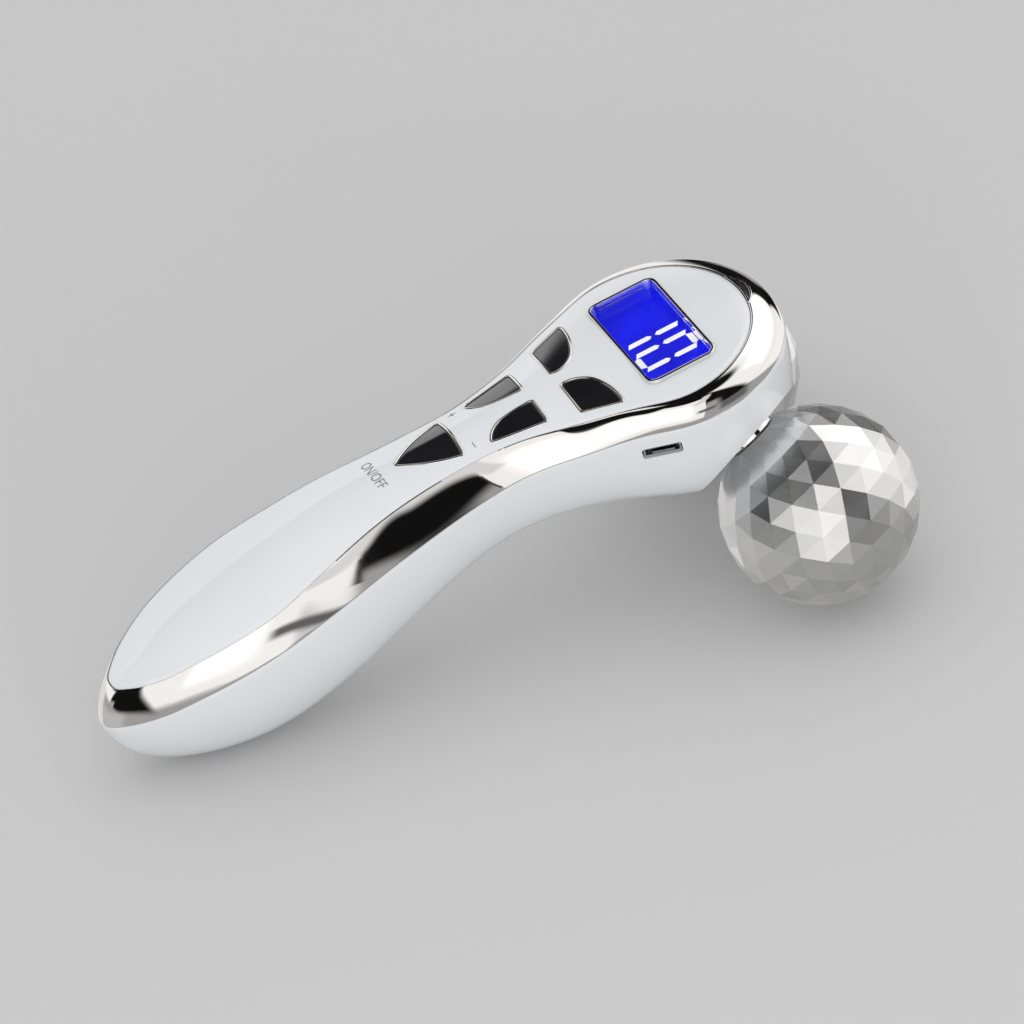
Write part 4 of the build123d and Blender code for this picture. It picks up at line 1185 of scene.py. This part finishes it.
# %% The bezel of the display
rim_roll, rim_width, wall_lean, wall_foot = 0.12, 0.62, 0.16, 1.05
points = on_deck("display_bezel")
bezel_low, bezel_top = points[:, 2].min(), points[:, 2].max()
section = [(0, bezel_low), (0, bezel_top - rim_roll)]
for swing in np.radians((30, 60, 90)):
    section.append((rim_roll * (1 - cos(swing)), bezel_top - rim_roll * (1 - sin(swing))))
for swing in np.radians((0, 30, 60, 90)):
    section.append((rim_width - rim_roll * (1 - sin(swing)), bezel_top - rim_roll * (1 - cos(swing))))
section += [(rim_width + wall_lean, bezel_low + wall_foot), (rim_width + wall_lean, bezel_low)]
loop, out = loop_of(points[:, :2])
rings = [np.column_stack((loop - out * inward, np.full(len(loop), z))) for inward, z in section]
bezel = ringed("bezel_frame", rings, closed=True)
shade(bezel, 40)
seat(bezel, "display_bezel")
print("bezel:", len(bezel.data.polygons), "faces")

# %% [markdown]
# The reading on the display is made of bars. They could be typed as text, but a display's figures are seven bars
# and not letters. A recipe puts one bar on every point of a rule: three upright columns of two bars, for a one
# and a nought, and two cross bars that close the nought. The bar is a flat plate, pointed at its far end.

# %% Upright bars of the reading
bar_outline = [(2.75, 0.62), (-2.05, 0.62), (-2.7, 0.0), (-2.05, -0.62), (2.1, -0.62)]
bar = prism("bar", bar_outline, 0.0, 0.03, Matrix.Identity(4))
bar_mesh = bar.data.copy()
bpy.data.objects.remove(bar)

reading = Recipe(
    "seven_bar_reading", "GeometryNodeTree", {"Geometry": "NodeSocketGeometry"},
    Bar="geometry", Start_y=0.0005, Gap=0.0034, Width=0.0049, Low_x=-0.0028, Rise=0.0062, End=0.0058,
    Level=-0.00242, Material=None,
)


def bars(count, x, y, turn, **scale):
    """This many bars at these places, turned about the display's normal."""
    spot = reading.add("ShaderNodeCombineXYZ", x, y, reading["Level"])
    spots = reading.add("GeometryNodePoints", Count=count, Position=spot)
    turn = reading.add("ShaderNodeCombineXYZ", 0.0, 0.0, turn)
    return reading.add(
        "GeometryNodeInstanceOnPoints", Points=spots, Instance=reading["Bar"], Rotation=turn, **scale,
    )


index = reading.add("GeometryNodeInputIndex")
column = reading.math("FLOOR", reading.over(index, 2.0))
row = reading.math("MODULO", index, 2.0)
past_one = reading.math("MINIMUM", column, 1.0)
past_two = reading.math("MAXIMUM", reading.minus(column, 1.0), 0.0)
shift = reading.plus(reading.times(past_one, reading["Gap"]), reading.times(past_two, reading["Width"]))
upright_x = reading.plus(reading["Low_x"], reading.times(row, reading["Rise"]))
upright_y = reading.minus(reading["Start_y"], shift)
uprights = bars(6, upright_x, upright_y, reading.times(reading.minus(1.0, row), pi))
print("reading:", len(reading.tree.nodes), "nodes so far")

# %% [markdown]
# The two cross bars close the nought at its head and at its foot. They are the same plate, turned across and made
# shorter. With them the recipe is complete, and it is grown into a mesh that lies on the panel.

# %% Cross bars of the reading
end_side = reading.minus(reading.times(index, 2.0), 1.0)
middle_x = reading.plus(reading["Low_x"], reading.times(reading["Rise"], 0.5))
cross_x = reading.plus(middle_x, reading.times(end_side, reading["End"]))
cross_y = reading.minus(reading["Start_y"], reading["Gap"])
cross_y = reading.minus(cross_y, reading.times(reading["Width"], 0.5))
crosses = bars(2, cross_x, cross_y, reading.times(end_side, pi / 2), Scale=(0.66, 1.0, 1.0))
reading.close(reading.add("GeometryNodeJoinGeometry", [uprights, crosses]), reading["Material"])
digits = grow("display_reading", reading, source=bar_mesh, Material=segment.material)
digits.data.transform(deck_matrix)
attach(digits, "case")
print("display reading:", len(digits.data.polygons), "faces")

# %% [markdown]
# The marks by the keys are printed on the cover. An image would do for a flat face, but it would blur in a close
# view. So text is turned into a mesh, and each of its corners is laid on the skin, a hair's breadth up.

# %% Printed marks
ink_lift, ink_narrowing = 0.03, 0.8


def printed(name, words, x, y, size):
    """Flat words on the cover with their middle at this place, read from left to right across the handle."""
    curve = bpy.data.curves.new(name, "FONT")
    curve.body, curve.size, curve.align_x, curve.align_y = words, size, "CENTER", "CENTER"
    text = add_object(name, curve)
    mesh = bpy.data.meshes.new_from_object(text.evaluated_get(bpy.context.evaluated_depsgraph_get()))
    bpy.data.objects.remove(text)
    flat = np.array([v.co for v in mesh.vertices])
    flat = np.column_stack((x + flat[:, 1], y - ink_narrowing * flat[:, 0]))
    mesh.vertices.foreach_set("co", place(on_skin(flat, ink_lift)).ravel())
    mesh.materials.clear()
    mesh.materials.append(ink.material)
    piece = add_object(name, mesh)
    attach(piece, "case")
    print(name, len(mesh.polygons), "faces")


printed("mark_power", "ON/OFF", -62.3, 0.65, 3.1)
printed("mark_plus", "+", -42.3, 6.0, 3.6)
printed("mark_minus", "–", -42.5, -5.1, 3.4)

# %% [markdown]
# The pieces that stay as they are in the CAD model, most of them inside the case, get their finishes by slot. A
# finer mesh would add nothing, because they show only when the case is open.

# %% Finishes for the CAD nodes that stay
kept = 0
for node, thing in frame["nodes"].items():
    if not thing.hide_render:
        for slot in thing.material_slots:
            slot.material = finish_of_slot[slot_of_node[node]].material
        kept += 1
print("CAD nodes that stay:", kept)

# %% [markdown]
# Chrome shows whatever surrounds it, so a studio sets up a room for it: white screens with dark gaps between
# them, which draw crisp black shapes into the plating and tell the eye how it bends. Real panels round the object
# would also light it and throw shadows. Here the screens are part of the room's node tree, and only reflections
# see them. Each is a patch of directions, from a left to a right bearing and from a low to a high elevation, in
# degrees, with soft edges. It may lean or slope. One shader group makes them all.

# %% The recipe of one screen
screen = Recipe(
    "screen_patch", "ShaderNodeTree", {"Mask": FLOAT_OUT},
    Bearing=0.0, Elevation=0.0, Left=0.0, Right=10.0, Lean=0.0, Low=0.0, High=10.0, Slope=0.0, Soft=2.0,
)


def past(value, edge):
    """0 before the edge and 1 past it, with a soft step."""
    start = screen.minus(screen[edge], screen["Soft"])
    end = screen.plus(screen[edge], screen["Soft"])
    smooth = {"interpolation_type": "SMOOTHSTEP"}
    return screen.add("ShaderNodeMapRange", value, start, end, 0.0, 1.0, settings=smooth)


leaning = screen.plus(screen["Bearing"], screen.times(screen["Lean"], screen["Elevation"]))
sidewards = screen.minus(past(leaning, "Left"), past(leaning, "Right"))
sloping = screen.plus(screen["Elevation"], screen.times(screen["Slope"], screen["Bearing"]))
upwards = screen.minus(past(sloping, "Low"), past(sloping, "High"))
screen.give(Mask=screen.times(sidewards, upwards))
print("screen recipe:", len(screen.tree.nodes), "nodes")

# %% [markdown]
# The room is the list of its screens. Each one is laid over those before it, as far as its mask reaches. A bearing
# of 0 is ahead of the head, 90 is to the left, and an elevation below 0 is the floor.

# %% The screens of the room
room_world = bpy.data.worlds.new("room")
room_world.use_nodes = True
room = Bench(room_world.node_tree)
direction = room.add("ShaderNodeTexCoord").node.outputs["Generated"]
x, y, z = room.add("ShaderNodeSeparateXYZ", direction).node.outputs
bearing = room.times(room.math("ARCTAN2", y, x), 180 / pi)
elevation = room.times(room.math("ARCSINE", z), 180 / pi)

glaring, bright, grey, dim, dark = 1.3, 0.95, 0.36, 0.13, 0.006
screens = [  # left, right, lean, low, high, slope, softness, brightness
    (-400, 400, 0, -95, 0, 0, 3, grey),            # the floor
    (-400, -158, 0, -60, -14, 0, 5, 0.5),          # the floor behind the tail
    (-74, -44, 0, -17, 2, 0, 5, dim),              # the floor's dark far end
    (-155, -108, 0.69, -22, 36, 0, 3, bright),     # wing of the front screen towards the tail
    (-108, -86, 0.75, 24, 75, 0, 1.5, dark),       # dark gap that leans away from it
    (-200, -144, 0, 58, 77, 0, 3, bright),         # narrow screen high over the tail
    (-400, -155, 0.69, -80, -42, 0.4, 3, dark),    # dark gap behind the tail
    (-90, -73, 0, -24, 24, 0, 5, grey),            # grey card beside the front screen's foot
    (-129, -85.7, -0.055, -21, 56, 0, 1, bright),  # wide front screen
    (-124, -99, 0, -12, 40, 0, 7, glaring),        # its bright middle
    (-118, -107, -0.6, 32, 63, 0, 2.5, 0.72),      # its upper wing
    (-86, -84.9, -0.055, 16, 36, 0, 0.5, 0.02),    # dark slot along its edge
    (-93, -76, 0, -6, 3, 0, 3, dim),               # dark line along the floor's edge
    (-42, 82, 0.35, 3, 68, 0, 4, bright),          # wide screen beyond the head
    (-20, 78, 0, 17, 58, 0, 6, glaring),           # its bright middle
    (-37, 100, 1.6, -34, 5, 0, 4, bright),         # its foot
    (33, 80, 0, -22, 12, 0, 2, dark),              # dark gap beside the foot
    (22, 80, -1, 10, 34, 0, 2, dark),              # the gap's slanting top
    (48, 61, 0, -30, 0, 0, 3, grey),               # grey card in the gap
    (68, 130, 0, -32, 33, 0, 3, bright),           # screen behind the head
    (66, 190, 0, 33, 90, 0, 3, dark),              # dark ceiling over it
    (100, 163, 0, -3, 17, 0, 4, bright),           # screen behind the tail
    (90, 135, 0, -50, -2, 0, 6, 0.75),             # lit floor behind the head
    (135, 400, 0, -50, -14, 0, 5, 0.5),            # lit floor behind the tail
]
brightness = dark
for *edges, value in screens:
    mask = room.add("ShaderNodeGroup", bearing, elevation, *edges, settings={"node_tree": screen.tree})
    brightness = room.add("ShaderNodeMix", mask, brightness, float(value))
print("screens:", len(screens))

# %% [markdown]
# All other rays see an even pale grey, which lights the object softly from every side without a pattern. The
# screens are a shade warm, as white card under studio lamps is.

# %% The light of the room
screen_warmth = (1.0, 0.985, 0.975)
even_grey = (0.76, 0.765, 0.775)
screens_seen = room.add("ShaderNodeCombineColor", *[room.times(brightness, share) for share in screen_warmth])
for_mirrors = room.add("ShaderNodeLightPath").node.outputs["Is Glossy Ray"]
background = room_world.node_tree.nodes["Background"]
room_light = room.blend(for_mirrors, even_grey, screens_seen)
room_world.node_tree.links.new(room_light, background.inputs["Color"])
bpy.context.scene.world = room_world
print("room:", len(room_world.node_tree.nodes), "nodes")

# %% [markdown]
# The stage is a plain pale floor, with one wide soft box above and one in front for the shadow and for the round
# of the case. Neither of them shows in the plating, where the screens do that work.

# %% Floor and soft boxes
span = 3.0
floor_mesh = bpy.data.meshes.new("floor")
floor_mesh.from_pydata([(-span, -span, 0), (span, -span, 0), (span, span, 0), (-span, span, 0)], [], [(0, 1, 2, 3)])
floor = add_object("floor", floor_mesh)
floor_paint = Finish("pale_floor", Roughness=0.6, Specular_IOR_Level=0.2)
floor_paint.tint(3.0, (0.61, 0.605, 0.605), (0.625, 0.62, 0.62))
floor_mesh.materials.append(floor_paint.material)
floor.visible_glossy = False


def soft_box(name, spot, target, width, depth, power):
    """A soft rectangular light at a spot, turned to a target, that no reflection shows."""
    lamp = bpy.data.lights.new(name, "AREA")
    lamp.shape, lamp.size, lamp.size_y, lamp.energy = "RECTANGLE", width, depth, power
    light = add_object(name, lamp)
    light.location = spot
    light.rotation_euler = (Vector(target) - Vector(spot)).to_track_quat("-Z", "Y").to_euler()
    light.visible_glossy = False
    print("soft box", name, power, "W")


soft_box("overhead", (0.0, 0.1, 1.0), (0, 0, 0), 1.4, 1.2, 2.0)
soft_box("front", (-0.25, -1.0, 0.3), (0, 0, 0.02), 1.2, 0.6, 3.5)

# %% [markdown]
# The camera looks down on the display from beside the right edge of the handle, with a long lens, so that the
# device keeps its proportions. Its place is worked out from the point it aims at: round by the azimuth, up by the
# elevation, back by the distance, and tipped a little about its own line of sight.

# %% Camera
camera_azimuth, camera_elevation, camera_tip, camera_distance = -110.894, 38.809, -8.655, 1.6725
aim = Vector((0.0059, -0.00682, 0.03202))
camera_data = bpy.data.cameras.new("camera")
camera_data.lens, camera_data.sensor_width = 300, 36
camera = add_object("camera", camera_data)
turns = ((90 + camera_azimuth, "Z"), (90 - camera_elevation, "X"), (camera_tip, "Z"))
sight = Matrix.Translation(aim)
for angle, axis in turns:
    sight = sight @ Matrix.Rotation(radians(angle), 4, axis)
camera.matrix_world = sight @ Matrix.Translation((0, 0, camera_distance))
bpy.context.scene.camera = camera
bpy.context.scene.view_settings.view_transform = "Standard"
print("camera at", [round(c, 3) for c in camera.matrix_world.translation])
